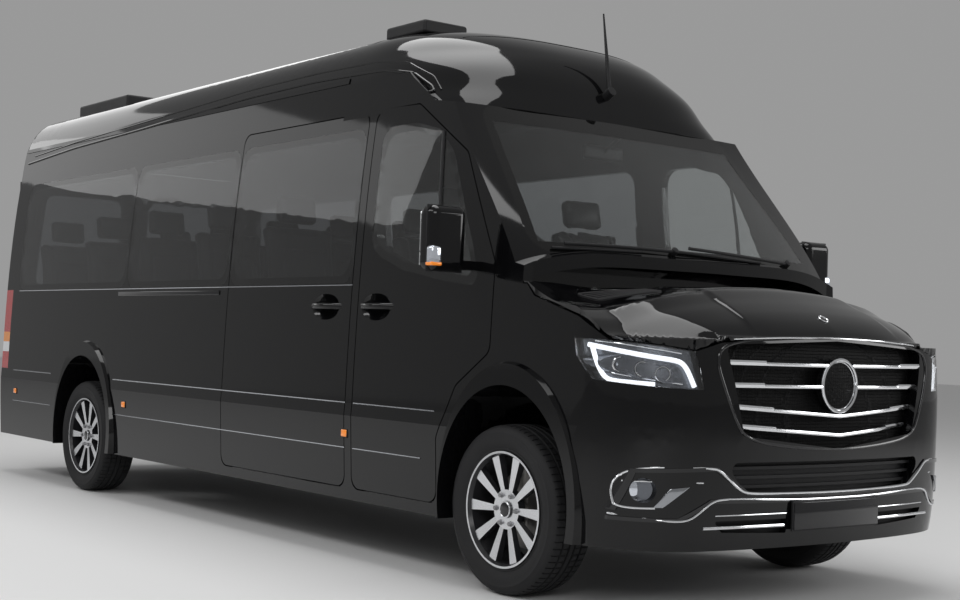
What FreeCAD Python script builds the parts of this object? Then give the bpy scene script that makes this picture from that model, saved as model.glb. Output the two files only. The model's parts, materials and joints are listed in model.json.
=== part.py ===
import FreeCAD
import Part
import Sketcher
import math
import os
import re
from types import SimpleNamespace
from FreeCAD import Vector

# Long high-roof minibus, in millimetres: +X forward, +Y to its left, +Z up,
# origin on the floor below the middle of its length and width.

os.makedirs("parts", exist_ok=True)
doc = FreeCAD.newDocument("minibus")

# Sizes
SIZES = (
    ("wheelbase", 4325),
    ("front_overhang", 950),
    ("rear_overhang", 1550),
    ("half_width", 1005),
    ("roof_height", 2600),
    ("sill_bottom", 275),
    ("rub_strip_low", 672),
    ("rub_strip_high", 731),
    ("glass_low", 1300),
    ("glass_high", 2050),
    ("gutter_height", 2293),
    ("sill_tuck", 20),
    ("shoulder_step", 4),
    ("waist_lean", 24),
    ("glass_lean", 88),
    ("gutter_lean", 122),
    ("wall", 50),
    ("skin", 6),
    ("panel", 30),
    ("gap", 6),
    ("overrun", 300),
    ("floor_top", 600),
    ("floor_thickness", 60),
    ("firewall_set", 90),
    ("firewall_thickness", 30),
    ("arch_half_length", 425),
    ("arch_rise", 483),
    ("arch_forward", 42),
    ("arch_centre_height", 385),
    ("flare_top", 103),
    ("flare_side", 40),
    ("flare_forward", 20),
    ("flare_proud", 14),
    ("front_well_depth", 490),
    ("rear_well_depth", 300),
    ("well_wall", 12),
    ("track_half", 865),
    ("kingpin_set", 40),
    ("tyre_radius", 352),
    ("tyre_width", 225),
    ("tyre_shoulder", 30),
    ("rim_radius", 241),
    ("rim_bead", 232),
    ("rim_width", 190),
    ("rim_lip", 12),
    ("rim_barrel_wall", 10),
    ("spoke_count", 10),
    ("spoke_outer", 46),
    ("spoke_inner", 22),
    ("spoke_depth", 34),
    ("spoke_set", 9),
    ("hub_radius", 82),
    ("hub_depth", 46),
    ("cap_radius", 36),
    ("cap_proud", 8),
    ("bore_radius", 33),
    ("bolt_circle", 65),
    ("bolt_radius", 13),
    ("bolt_depth", 14),
    ("rim_dish", 10),
    ("bolt_count", 6),
    ("cap_rear_x", -900),
    ("cap_fold_x", -640),
    ("cap_front_x", -500),
    ("wing_half", 895),
    ("side_panel_half", 700),
    ("front_door_front", -75),
    ("front_door_rear", -1110),
    ("door_low", 328),
    ("door_crown_x", -760),
    ("door_pillar_x", -340),
    ("door_pillar_z", 1870),
    ("door_mirror_z", 1376),
    ("door_arch_z", 1000),
    ("door_bend_x", -300),
    ("door_bend_z", 850),
    ("door_foot_x", -425),
    ("door_foot_z", 620),
    ("pane_margin", 66),
    ("pane_gap", 8),
    ("slide_front", -1165),
    ("door_top", 2129),
    ("slide_rear", -2409),
    ("pane_seam", -3728),
    ("glass_rear", -5540),
    ("seal", 36),
    ("corner_round", 60),
    ("glass_round", 90),
    ("rear_door_half", 872),
    ("rear_door_top_half", 806),
    ("rear_door_low", 590),
    ("rear_door_high", 2240),
    ("rear_depth", 150),
    ("screen_half_top", 782),
    ("screen_half_foot", 895),
    ("screen_top", 2108),
    ("screen_foot", 1425),
    ("screen_run", 700),
    ("hood_rear_x", 215),
    ("hood_rear_side_x", 112),
    ("hood_rear_half", 930),
    ("hood_bend_x", 188),
    ("hood_bend_z", 1236),
    ("hood_corner_x", 140),
    ("hood_corner_z", 1285),
    ("hood_shut_x", 468),
    ("hood_shut_z", 1154),
    ("hood_mid_x", 550),
    ("hood_front_z", 1112),
    ("hood_lead_drop", 240),
    ("hood_lead_z", 1104),
    ("hood_lead_half", 625),
    ("hood_lead_fall", 36),
    ("lamp_inner_half", 738),
    ("lamp_inner_top", 1032),
    ("lamp_inner_lean", 33),
    ("lamp_inner_low", 881),
    ("lamp_low_half", 790),
    ("lamp_low", 867),
    ("lamp_outer_low", 915),
    ("lamp_outer_top", 1114),
    ("lamp_rear_x", 440),
    ("lamp_rear_lean", 30),
    ("lamp_rear_rise", 85),
    ("lamp_low_x", 560),
    ("lamp_depth", 110),
    ("grille_tip", 657),
    ("grille_half_low", 522),
    ("grille_low", 712),
    ("grille_half_high", 608),
    ("grille_high", 1062),
    ("grille_top", 1090),
    ("bar_height", 30),
    ("roundel_z", 911),
    ("roundel_radius", 88),
    ("bumper_seam_z", 738),
    ("bumper_bend_x", 430),
    ("bumper_top_x", 690),
    ("intake_low", 492),
    ("intake_high", 612),
    ("intake_half_low", 500),
    ("intake_half_high", 610),
    ("slat", 12),
    ("tail_lamp_reach", 240),
    ("tail_lamp_low", 741),
    ("tail_lamp_high", 1299),
    ("rear_bumper_start", 560),
    ("strip_proud", 4),
    ("trim_width", 15),
    ("fog_x", 700),
    ("fog_half", 872),
    ("fog_z", 505),
    ("fog_radius", 46),
    ("fog_turn", 24),
    ("fit_gap", 0.4),
    ("handle_z", 1190),
    ("handle_length", 235),
    ("handle_width", 30),
    ("handle_proud", 32),
    ("handle_dish", 24),
    ("handle_set", 225),
    ("handle_tall", 124),
    ("rail_low", 2296),
    ("rail_high", 2322),
    ("projector_radius", 36),
    ("rail_half", 430),
    ("rail_width", 70),
    ("rail_height", 110),
    ("engine_length", 560),
    ("engine_width", 520),
    ("engine_height", 560),
    ("engine_low", 330),
    ("engine_front", 700),
    ("axle_tube", 45),
    ("diff_radius", 150),
    ("subframe_height", 60),
    ("subframe_low", 300),
    ("subframe_reach", 230),
    ("arm_tip", 25),
    ("upright_radius", 30),
    ("upright_low", 230),
    ("upright_high", 520),
    ("stub_radius", 28),
    ("disc_radius", 165),
    ("disc_thickness", 28),
    ("disc_set", 70),
    ("shield_set", 20),
    ("exhaust_radius", 30),
    ("exhaust_half", 190),
    ("shaft_radius", 32),
    ("tank_length", 980),
    ("tank_width", 380),
    ("tank_height", 225),
    ("tank_set", 1290),
    ("tank_round", 45),
    ("silencer_radius", 90),
    ("silencer_length", 620),
    ("mirror_x", -190),
    ("mirror_half", 1174),
    ("mirror_z", 1465),
    ("mirror_width", 185),
    ("mirror_depth", 110),
    ("mirror_height", 275),
    ("mirror_round", 40),
    ("mirror_arm", 26),
    ("roof_unit_length", 820),
    ("roof_unit_half", 600),
    ("roof_unit_height", 50),
    ("roof_unit_rear", 380),
    ("antenna_x", -452),
    ("antenna_height", 400),
    ("antenna_radius", 4),
    ("antenna_base", 24),
    ("antenna_reach", 42),
    ("vent_x", -1528),
    ("vent_length", 343),
    ("vent_width", 270),
    ("vent_y", 465),
    ("vent_height", 34),
    ("vent_round", 16),
    ("dash_front", -120),
    ("dash_depth", 420),
    ("dash_top", 1330),
    ("dash_low", 960),
    ("steering_radius", 195),
    ("steering_rim", 15),
    ("steering_x", -560),
    ("steering_y", 400),
    ("steering_z", 1300),
    ("steering_tilt", 60),
    ("seat_width", 460),
    ("seat_depth", 440),
    ("seat_thickness", 110),
    ("seat_height", 430),
    ("back_height", 640),
    ("back_thickness", 100),
    ("back_lean", 12),
    ("head_width", 260),
    ("head_height", 170),
    ("head_thickness", 90),
    ("seat_round", 40),
    ("cab_seat_x", -1000),
    ("cab_seat_y", 400),
    ("row_front", -1720),
    ("row_pitch", 800),
    ("row_count", 5),
    ("seat_pair_outer", 658),
    ("seat_pair_inner", 188),
    ("seat_leg", 40),
    ("leg_shift", 62),
    ("spring_half", 640),
    ("antenna_z", 2265),
    ("antenna_lean", 60),
)
sheet = doc.addObject("Spreadsheet::Sheet", "Sizes")
for row, (alias, value) in enumerate(SIZES, start=1):
    sheet.set(f"A{row}", alias)
    sheet.set(f"B{row}", str(value))
    sheet.setAlias(f"B{row}", alias)
doc.recompute()
mm = SimpleNamespace(**{alias: float(sheet.get(alias)) for alias, value in SIZES})

WORDS = {alias for alias, value in SIZES}
FRONT = "((wheelbase + rear_overhang - front_overhang) / 2)"
REAR = "((rear_overhang - front_overhang - wheelbase) / 2)"
ALONG_X = FreeCAD.Rotation(Vector(0, 1, 0), 90)
ALONG_Y = FreeCAD.Rotation(Vector(1, 0, 0), -90)
HALF_TURN = FreeCAD.Rotation(Vector(0, 0, 1), 180)
FULL_TURN = 360


def sized(text):
    """Point each size's word at its cell of the sheet."""
    def named(found):
        word = found.group()
        return f"Sizes.{word}" if word in WORDS else word

    return re.sub(r"[a-z_]+", named, text)


def bind(piece, sizes, place=("0", "0", "0"), turn=None):
    """Tie an object's sizes and its place to the sheet."""
    for name, text in sizes.items():
        piece.setExpression(name, sized(text))
    if turn:
        piece.Placement.Rotation = turn
    for axis, text in zip("xyz", place):
        piece.setExpression(f"Placement.Base.{axis}", sized(text))
    return piece


def block(name, size, place):
    return bind(doc.addObject("Part::Box", name), dict(zip(("Length", "Width", "Height"), size)), place)


def drum(name, radius, length, place, turn=None):
    return bind(doc.addObject("Part::Cylinder", name), {"Radius": radius, "Height": length}, place, turn)


def merged(name, pieces):
    whole = doc.addObject("Part::MultiFuse", name)
    whole.Shapes = pieces
    whole.Refine = True
    return whole


def carved(name, base, tool):
    whole = doc.addObject("Part::Cut", name)
    whole.Base = base
    whole.Tool = tool
    return whole


def origin_part(body, role):
    return next(item for item in body.Origin.OriginFeatures if item.Role == role)


def sketch_on(body, name, role, height="0"):
    sketch = body.newObject("Sketcher::SketchObject", name)
    sketch.AttachmentSupport = [(origin_part(body, role), "")]
    sketch.MapMode = "FlatFace"
    sketch.setExpression("AttachmentOffset.Base.z", sized(height))
    return sketch


def outline(body, name, role, points, height="0"):
    """Draw a closed polygon whose corners are tied to the sheet."""
    sketch = sketch_on(body, name, role, height)
    count = len(points)
    turns = [2 * math.pi * i / count for i in range(count)]
    ring = [Vector(math.cos(turn), math.sin(turn), 0) * mm.tyre_radius for turn in turns]
    for i in range(count):
        sketch.addGeometry(Part.LineSegment(ring[i], ring[(i + 1) % count]), False)
    for i in range(count):
        sketch.addConstraint(Sketcher.Constraint("Coincident", i, 2, (i + 1) % count, 1))
    for i, place in enumerate(points):
        for kind, text, start in zip(("DistanceX", "DistanceY"), place, (ring[i].x, ring[i].y)):
            index = sketch.addConstraint(Sketcher.Constraint(kind, -1, 1, i, 1, start))
            sketch.setExpression(f"Constraints[{index}]", sized(text))
    return sketch


def disc_sketch(body, name, role, place, radius, height="0"):
    """Draw a circle whose centre and radius are tied to the sheet."""
    sketch = sketch_on(body, name, role, height)
    start = Vector(mm.hub_radius, mm.hub_radius, 0)
    sketch.addGeometry(Part.Circle(start, Vector(0, 0, 1), mm.bolt_radius), False)
    ties = (("DistanceX", start.x, place[0]), ("DistanceY", start.y, place[1]))
    for kind, value, text in ties:
        index = sketch.addConstraint(Sketcher.Constraint(kind, -1, 1, 0, 3, value))
        sketch.setExpression(f"Constraints[{index}]", sized(text))
    index = sketch.addConstraint(Sketcher.Constraint("Radius", 0, mm.bolt_radius))
    sketch.setExpression(f"Constraints[{index}]", sized(radius))
    return sketch


def turned(body, name, profile, kind="PartDesign::Revolution"):
    """Turn a profile once round the body's Y axis."""
    feature = body.newObject(kind, name)
    feature.Profile = profile
    feature.ReferenceAxis = (profile, ["V_Axis"])
    feature.Angle = FULL_TURN
    return feature


def padded(body, name, profile, length, kind="PartDesign::Pad"):
    feature = body.newObject(kind, name)
    feature.Profile = profile
    feature.setExpression("Length", sized(length))
    return feature


def repeated(body, name, feature, count):
    """Repeat a feature evenly round the body's Y axis."""
    doc.recompute()
    pattern = body.newObject("PartDesign::PolarPattern", name)
    pattern.Originals = [feature]
    pattern.Axis = (origin_part(body, "Y_Axis"), [""])
    pattern.Angle = FULL_TURN
    pattern.setExpression("Occurrences", sized(count))
    body.Tip = pattern
    return pattern


def soft_block(name, size, radius, place=("0", "0", "0")):
    """Make a block with all of its edges rounded."""
    body = doc.addObject("PartDesign::Body", name)
    core = body.newObject("PartDesign::AdditiveBox", f"{name}_core")
    bind(core, dict(zip(("Length", "Width", "Height"), size)))
    doc.recompute()
    edges = body.newObject("PartDesign::Fillet", f"{name}_edges")
    edges.Base = (core, ["Edge1"])
    edges.UseAllEdges = True
    edges.setExpression("Radius", sized(radius))
    body.Tip = edges
    return bind(body, {}, place)


# Axle places, from the overhangs
LENGTH = mm.front_overhang + mm.wheelbase + mm.rear_overhang
FRONT_AXLE = LENGTH / 2 - mm.front_overhang
REAR_AXLE = FRONT_AXLE - mm.wheelbase
NOSE = LENGTH / 2
TAIL = -LENGTH / 2

# Roof cross-section from gutter to crown, shares of the gutter's half width and of the rise
ROOF_SHARES = ((1.0, 0.0), (0.955, 0.36), (0.885, 0.64), (0.77, 0.82), (0.5, 0.95), (0.0, 1.0))
# Roof cap, screen and bonnet on the centre line, shares of front overhang and roof height
ROOF_FRONT_SHARES = (
    (-1.95, 1.014), (-1.25, 0.998), (-0.95, 0.984), (-0.75, 0.960),
    (-0.62, 0.926), (-0.54, 0.880), (-0.504, 0.822),
)
SCREEN_SHARES = ((-0.504, 0.822), (-0.165, 0.684), (0.163, 0.555), (0.33, 0.484))
HOOD_SHARES = ((-2.2, 0.72), (-0.6, 0.6), (0.163, 0.555), (0.5, 0.518), (0.8, 0.468), (0.979, 0.4255), (1.2, 0.33))
# Plan stations: half width share, then setback of the screen's foot and top as shares of
# the front overhang, and drop of the bonnet as a share of the roof height
STATION_SHARES = (
    (0.0, 0.0, 0.0, 0.0),
    (0.40, 0.022, 0.005, 0.002),
    (0.75, 0.084, 0.020, 0.012),
    (0.92, 0.135, 0.036, 0.028),
    (1.10, 0.205, 0.060, 0.062),
)
# Plan of the nose at its fullest, half width share and setback as a share of the overhang
NOSE_PLAN_SHARES = (
    (0.0, 0.0), (0.30, 0.013), (0.60, 0.050), (0.80, 0.116), (0.92, 0.226), (0.99, 0.442), (1.03, 0.69),
)
# Lean of the nose: height share of the roof height and setback share of the overhang
NOSE_LEAN_SHARES = ((0.05, 0.09), (0.125, 0.02), (0.24, 0.0), (0.36, 0.001), (0.42, 0.02), (0.5, 0.09))
# Grille bars: height, half length and sag in the middle, as shares of the grille
BAR_LEVEL_SHARES = (0.80, 0.55, 0.27, 0.05)
BAR_HALF_SHARES = (0.97, 0.97, 0.90, 0.83)
BAR_SAG_SHARES = (0.0, 0.0, 0.10, 0.11)
# Slats of the lower intake, heights as shares of its opening
SLAT_SHARES = (0.2, 0.5, 0.8)
# Window of the front door, from the door's rear edge and foot
FRONT_GLASS_SHARES = (
    (0.077, 0.634), (0.077, 0.949), (0.338, 0.949), (0.531, 0.920), (0.647, 0.856),
    (0.845, 0.617), (0.903, 0.525), (0.624, 0.5436), (0.341, 0.571), (0.164, 0.605),
)
# Bright trim round the fog lamps and under the intake, half width and roof height shares
TRIM_SHARES = ((0.962, 0.164), (0.925, 0.2225), (0.646, 0.2265), (0.492, 0.1895), (0.0, 0.1845))
LIP_SHARES = ((0.965, 0.152), (0.787, 0.1515), (0.660, 0.179), (0.0, 0.1765))
# Lower slats either side of the blank plate's place, half width and roof height shares
LOWER_SLAT_SHARES = ((0.275, 0.150), (0.275, 0.128), (0.600, 0.133), (0.640, 0.150))
# Projectors of a headlamp, half width and roof height shares
PROJECTOR_SHARES = ((0.936, 0.375), (0.896, 0.369), (0.832, 0.363))
# Dashboard section, shares of its depth and of its height
DASH_SHARES = ((0.0, 0.0), (0.0, 1.15), (0.33, 1.12), (0.72, 1.0), (1.0, 0.86), (0.97, 0.5), (0.75, 0.32), (0.7, 0.0))
# Rear door hinges, heights as shares of the door's height
# Leaves of a rear spring, from the lowest up, as shares of its length
LEAF_SHARES = (0.35, 0.65, 1.0)
# Cross members along the wheelbase
CROSS_SHARES = (0.12, 0.35, 0.6, 0.82)
# Rear silhouette from the sill up, shares of rear overhang and roof height
TAIL_SHARES = ((0.985, 0.02), (1.0, 0.16), (0.996, 0.32), (0.985, 0.55), (0.955, 0.82))
TAIL_ROOF_SHARES = ((0.955, 0.82), (0.925, 0.93), (0.87, 0.985), (0.66, 1.03))
# Plan of the tail: half width share and setback as a share of the rear overhang
TAIL_STATION_SHARES = ((0.0, 0.0), (0.5, 0.003), (0.78, 0.014), (0.93, 0.045), (1.08, 0.17))


def spline(points):
    curve = Part.BSplineCurve()
    curve.interpolate(points)
    return curve.toShape()


def polyline_edges(points):
    return [Part.makeLine(a, b) for a, b in zip(points, points[1:])]


# Body envelope: one cross-section run along X, then cut by the air in front and behind
def side_levels(inset):
    lower = [(mm.half_width - mm.sill_tuck, mm.sill_bottom), (mm.half_width, mm.rub_strip_low)]
    upper = [
        (mm.half_width - mm.shoulder_step, mm.rub_strip_high),
        (mm.half_width - mm.waist_lean, mm.glass_low),
        (mm.half_width - mm.glass_lean, mm.glass_high),
        (mm.half_width - mm.gutter_lean, mm.gutter_height),
    ]
    lower = [(y - inset, z) for y, z in lower]
    upper = [(y - inset, z) for y, z in upper]
    rise = mm.roof_height - mm.gutter_height
    half = mm.half_width - mm.gutter_lean
    roof = [(half * a - inset * a, mm.gutter_height + (rise - inset) * b) for a, b in ROOF_SHARES]
    return lower, upper, roof


def cross_section(x, inset):
    lower, upper, roof = side_levels(inset)
    right = [Vector(x, -y, z) for y, z in roof]
    crown = [Vector(x, y, z) for y, z in roof] + right[-2::-1]
    edges = [Part.makeLine(*[Vector(x, y, z) for y, z in lower])]
    edges.append(Part.makeLine(Vector(x, *lower[-1]), Vector(x, *upper[0])))
    edges.append(spline([Vector(x, y, z) for y, z in upper]))
    edges.append(spline(crown))
    edges.append(spline([Vector(x, -y, z) for y, z in reversed(upper)]))
    edges.append(Part.makeLine(Vector(x, -upper[0][0], upper[0][1]), Vector(x, -lower[-1][0], lower[-1][1])))
    edges.append(Part.makeLine(Vector(x, -lower[-1][0], lower[-1][1]), Vector(x, -lower[0][0], lower[0][1])))
    edges.append(Part.makeLine(Vector(x, -lower[0][0], lower[0][1]), Vector(x, lower[0][0], lower[0][1])))
    return Part.Wire(edges)


def offset_line(points, depth):
    """Move a run of (x, z) points to their left-hand side by one depth."""
    moved = []
    for i, (x, z) in enumerate(points):
        before = points[max(i - 1, 0)]
        after = points[min(i + 1, len(points) - 1)]
        runs = [(x - before[0], z - before[1]), (after[0] - x, after[1] - z)]
        units = [(a / math.hypot(a, b), b / math.hypot(a, b)) for a, b in runs if math.hypot(a, b) > 0]
        ux = sum(a for a, b in units)
        uz = sum(b for a, b in units)
        scale = len(units) / (ux * ux + uz * uz)
        moved.append((x - uz * scale * depth, z + ux * scale * depth))
    return moved


def both_sides(stations):
    mirrored = [(-row[0],) + tuple(row[1:]) for row in stations[1:]]
    return sorted(list(stations) + mirrored)


def loft_air(stations, edges_at):
    """Loft the closed outlines that edges_at gives at each station."""
    return Part.makeLoft([Part.Wire(edges_at(row)) for row in both_sides(stations)], True, False)


def screen_air(inset):
    whole = list(ROOF_FRONT_SHARES) + list(SCREEN_SHARES[1:])
    points = [(FRONT_AXLE + a * mm.front_overhang, b * mm.roof_height) for a, b in whole]
    moved = offset_line(points, -inset)
    fold = len(ROOF_FRONT_SHARES) - 1
    far = NOSE + mm.overrun
    high = mm.roof_height + mm.overrun

    def edges_at(row):
        y_share, foot, top, drop = row
        y = y_share * (mm.half_width - inset)
        line = []
        for i, (x, z) in enumerate(moved):
            mix = max(i - fold, 0) / (len(SCREEN_SHARES) - 2)
            back = top + (foot - top) * mix
            line.append(Vector(x - back * mm.front_overhang, y, z))
        shut = [line[-1], Vector(far, y, line[-1].z), Vector(far, y, high), Vector(line[0].x, y, high), line[0]]
        return [spline(line[:fold + 1]), spline(line[fold:])] + polyline_edges(shut)

    return loft_air(STATION_SHARES, edges_at)


def hood_air(inset):
    points = [(FRONT_AXLE + a * mm.front_overhang, b * mm.roof_height) for a, b in HOOD_SHARES]
    moved = offset_line(points, -inset)
    far = NOSE + mm.overrun
    high = mm.roof_height + mm.overrun

    def edges_at(row):
        y_share, foot, top, drop = row
        y = y_share * (mm.half_width - inset)
        line = [Vector(x, y, z - drop * mm.roof_height) for x, z in moved]
        shut = [line[-1], Vector(far, y, line[-1].z), Vector(far, y, high), Vector(line[0].x, y, high), line[0]]
        return [spline(line)] + polyline_edges(shut)

    return loft_air(STATION_SHARES, edges_at)


def nose_air(inset):
    far = NOSE + mm.overrun
    wires = []
    for z_share, lean in NOSE_LEAN_SHARES:
        z = z_share * mm.roof_height
        half = mm.half_width - inset
        plan = [
            Vector(NOSE - inset - (back + lean) * mm.front_overhang, y_share * half, z)
            for y_share, back in both_sides(NOSE_PLAN_SHARES)
        ]
        wide = mm.half_width + mm.overrun
        shut = [plan[-1], Vector(plan[-1].x, wide, z), Vector(far, wide, z)]
        shut += [Vector(far, -wide, z), Vector(plan[0].x, -wide, z), plan[0]]
        wires.append(Part.Wire([spline(plan)] + polyline_edges(shut)))
    return Part.makeLoft(wires, True, False)


def rear_air(inset):
    whole = list(TAIL_SHARES) + list(TAIL_ROOF_SHARES[1:])
    points = [(REAR_AXLE - a * mm.rear_overhang, b * mm.roof_height) for a, b in whole]
    moved = offset_line(points, -inset)
    fold = len(TAIL_SHARES) - 1
    far = TAIL - mm.overrun
    high = mm.roof_height + mm.overrun

    def edges_at(row):
        y_share, back = row
        y = y_share * (mm.half_width - inset)
        line = [Vector(x + back * mm.rear_overhang, y, z) for x, z in moved]
        shut = [line[-1], Vector(line[-1].x, y, high), Vector(far, y, high), Vector(far, y, line[0].z), line[0]]
        return [spline(line[:fold + 1]), spline(line[fold:])] + polyline_edges(shut)

    return loft_air(TAIL_STATION_SHARES, edges_at)


def envelope(inset):
    face = Part.Face(cross_section(TAIL - mm.overrun, inset))
    solid = face.extrude(Vector(LENGTH + 2 * mm.overrun, 0, 0))
    above = screen_air(inset).common(hood_air(inset))
    return solid.cut(above).cut(nose_air(inset)).cut(rear_air(inset))


# Outlines and prisms
CORNER_SHARE = 0.45
STRAIGHT_SHARE = 0.01


def rounded(points, radius):
    """Close a run of coplanar points into a wire whose corners are arcs."""
    arcs = []
    for i, corner in enumerate(points):
        to_last = points[i - 1] - corner
        to_next = points[(i + 1) % len(points)] - corner
        half = to_last.getAngle(to_next) / 2
        if radius <= 0 or math.cos(half) < STRAIGHT_SHARE:
            arcs.append((corner, corner, corner))
            continue
        reach = min(radius / math.tan(half), CORNER_SHARE * to_last.Length, CORNER_SHARE * to_next.Length)
        bend = reach * math.tan(half)
        u = Vector(to_last).normalize()
        v = Vector(to_next).normalize()
        middle = corner + (u + v).normalize() * (bend / math.sin(half) - bend)
        arcs.append((corner + u * reach, middle, corner + v * reach))
    edges = []
    for i, (start, middle, end) in enumerate(arcs):
        if start != end:
            edges.append(Part.Arc(start, middle, end).toShape())
        edges.append(Part.makeLine(end, arcs[(i + 1) % len(arcs)][0]))
    return Part.Wire(edges)


def inset_outline(points, depth):
    """Move each side of a closed outline inward by one depth."""
    area = sum(a[0] * b[1] - b[0] * a[1] for a, b in zip(points, points[1:] + points[:1]))
    turn = 1 if area > 0 else -1
    lines = []
    for a, b in zip(points, points[1:] + points[:1]):
        run = math.hypot(b[0] - a[0], b[1] - a[1])
        nx = -(b[1] - a[1]) / run * turn
        ny = (b[0] - a[0]) / run * turn
        lines.append(((a[0] + nx * depth, a[1] + ny * depth), (b[0] - a[0], b[1] - a[1])))
    moved = []
    for (p, d), (q, e) in zip(lines[-1:] + lines[:-1], lines):
        cross = d[0] * e[1] - d[1] * e[0]
        t = ((q[0] - p[0]) * e[1] - (q[1] - p[1]) * e[0]) / cross
        moved.append((p[0] + d[0] * t, p[1] + d[1] * t))
    return moved




def prism(axis, points, radius, low, high):
    """Run a rounded outline along X (points are y, z), Y (x, z) or Z (x, y)."""
    order = {"x": lambda a, b: (low, a, b), "y": lambda a, b: (a, low, b), "z": lambda a, b: (a, b, low)}
    run = {"x": Vector(high - low, 0, 0), "y": Vector(0, high - low, 0), "z": Vector(0, 0, high - low)}
    corners = [Vector(*order[axis](a, b)) for a, b in points]
    return Part.Face(rounded(corners, radius)).extrude(run[axis])


def box(x0, x1, y0, y1, z0, z1):
    low = Vector(min(x0, x1), min(y0, y1), min(z0, z1))
    return Part.makeBox(abs(x1 - x0), abs(y1 - y0), abs(z1 - z0), low)


def side_prism(side, points, radius, depth):
    return prism("y", points, radius, side * (mm.half_width + mm.overrun), side * (mm.half_width - depth))


def rod(start, end, radius):
    return Part.makeCylinder(radius, (end - start).Length, start, end - start)


def joined(shapes):
    return shapes[0].multiFuse(shapes[1:]).removeSplitter()


NODES = []


def node(name, shape):
    piece = doc.addObject("Part::Feature", name)
    piece.Shape = shape
    piece.Label = name
    NODES.append(piece)
    return piece


SIDES = (("right", -1), ("left", 1))
FAR_OUT = mm.half_width + mm.overrun

OUTER = envelope(0.0)
PROUD = envelope(-mm.strip_proud)
SKIN_INNER = envelope(mm.skin)
PANEL_INNER = envelope(mm.panel)
WALL_INNER = envelope(mm.wall)
SKIN = OUTER.cut(SKIN_INNER)
HOLLOW = OUTER.cut(WALL_INNER)
LAMP_INNER = envelope(mm.lamp_depth)

# Axle-side arches and wells
def arch_wire(axle, side, grow, y):
    centre = Vector(axle + mm.arch_forward, y, mm.arch_centre_height)
    tall = centre + Vector(0, 0, mm.arch_rise + grow)
    wide = centre + Vector(mm.arch_half_length + grow, 0, 0)
    return Part.Wire(Part.Ellipse(tall, wide, centre).toShape())


def arch_prism(axle, side, grow, outer, inner):
    face = Part.Face(arch_wire(axle, side, grow, side * outer))
    return face.extrude(Vector(0, side * (inner - outer), 0))


RAIL_LOW = mm.floor_top - mm.floor_thickness - mm.rail_height
WELLS = ((FRONT_AXLE, mm.front_well_depth), (REAR_AXLE, mm.rear_well_depth))
well_air = []
well_tubs = []
for axle, depth in WELLS:
    for name, side in SIDES:
        inner = mm.half_width - depth
        well_air.append(arch_prism(axle, side, 0.0, mm.half_width + mm.overrun, inner))
        tub = arch_prism(axle, side, mm.well_wall, mm.half_width - mm.wall / 2, inner - mm.well_wall)
        below = box(TAIL, NOSE, -mm.half_width, mm.half_width, -mm.roof_height, mm.sill_bottom)
        well_tubs.append(tub.cut(below))

# Panel outlines in side view, x from the front axle
def at_front(points):
    return [(FRONT_AXLE + x, z) for x, z in points]


front_door_line = at_front([
    (mm.front_door_rear, mm.door_low), (mm.front_door_rear, mm.door_top),
    (mm.door_crown_x, mm.door_top), (mm.door_pillar_x, mm.door_pillar_z),
    (mm.front_door_front, mm.door_mirror_z), (mm.front_door_front, mm.door_arch_z),
    (mm.door_bend_x, mm.door_bend_z), (mm.door_foot_x, mm.door_foot_z), (mm.door_foot_x, mm.door_low),
])
DOOR_LENGTH = mm.front_door_front - mm.front_door_rear
DOOR_HEIGHT = mm.door_top - mm.door_low
front_glass_line = at_front([
    (mm.front_door_rear + a * DOOR_LENGTH, mm.door_low + b * DOOR_HEIGHT) for a, b in FRONT_GLASS_SHARES
])
slide_door_line = at_front([
    (mm.slide_rear, mm.door_low), (mm.slide_rear, mm.door_top),
    (mm.slide_front, mm.door_top), (mm.slide_front, mm.door_low),
])


def band_line(front, rear):
    return at_front([
        (rear, mm.glass_low), (rear, mm.glass_high), (front, mm.glass_high), (front, mm.glass_low),
    ])


DOOR_DEPTH = mm.wall + mm.gutter_lean + mm.gap
shell_cuts = list(well_air)
shell_adds = []


def pane(tool):
    return SKIN.common(tool)


def aperture(axis, points, radius, low, high):
    return prism(axis, inset_outline(points, mm.seal), radius - mm.seal / 2, low, high)


def door_panel(side, line):
    """Take a door's outer wall from the body's own wall and open the body for it."""
    shell_cuts.append(side_prism(side, line, mm.corner_round, DOOR_DEPTH))
    return HOLLOW.common(side_prism(side, inset_outline(line, mm.gap), mm.corner_round, DOOR_DEPTH))


def bulge(width, depth):
    """Give the radius of the arc that is this wide and this deep."""
    return (width * width / 4 + depth * depth) / (2 * depth)


def grip(side, x):
    """Give a door's handle: the dished recess to cut and the bowed bar to add."""
    y = side * (mm.half_width - mm.waist_lean + mm.shoulder_step)
    long = bulge(mm.handle_length, mm.handle_dish)
    tall = bulge(mm.handle_tall, mm.handle_dish)
    dish = Part.makeTorus(long - tall, tall, Vector(x, y + side * (long - mm.handle_dish), mm.handle_z))
    bow = bulge(mm.handle_length, mm.handle_proud)
    bar = Part.makeTorus(bow, mm.handle_width / 2, Vector(x, y - side * (bow - mm.handle_proud), mm.handle_z))
    near = y - side * mm.handle_dish / 3
    return dish, bar.common(box(x - bow, x + bow, near, y + side * mm.half_width, 0, mm.roof_height))


def side_pane(side, line):
    glass = pane(side_prism(side, line, mm.glass_round, DOOR_DEPTH))
    hole = side_prism(side, inset_outline(line, mm.seal), mm.glass_round, DOOR_DEPTH)
    return glass, hole


# Front doors with their glass
for name, side in SIDES:
    glass, hole = side_pane(side, front_glass_line)
    dish, bar = grip(side, FRONT_AXLE + mm.front_door_rear + mm.handle_set - mm.pane_margin)
    node(f"front_door_{name}", joined([door_panel(side, front_door_line).cut([glass, hole, dish]), bar]))
    node(f"front_door_glass_{name}", glass)

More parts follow.
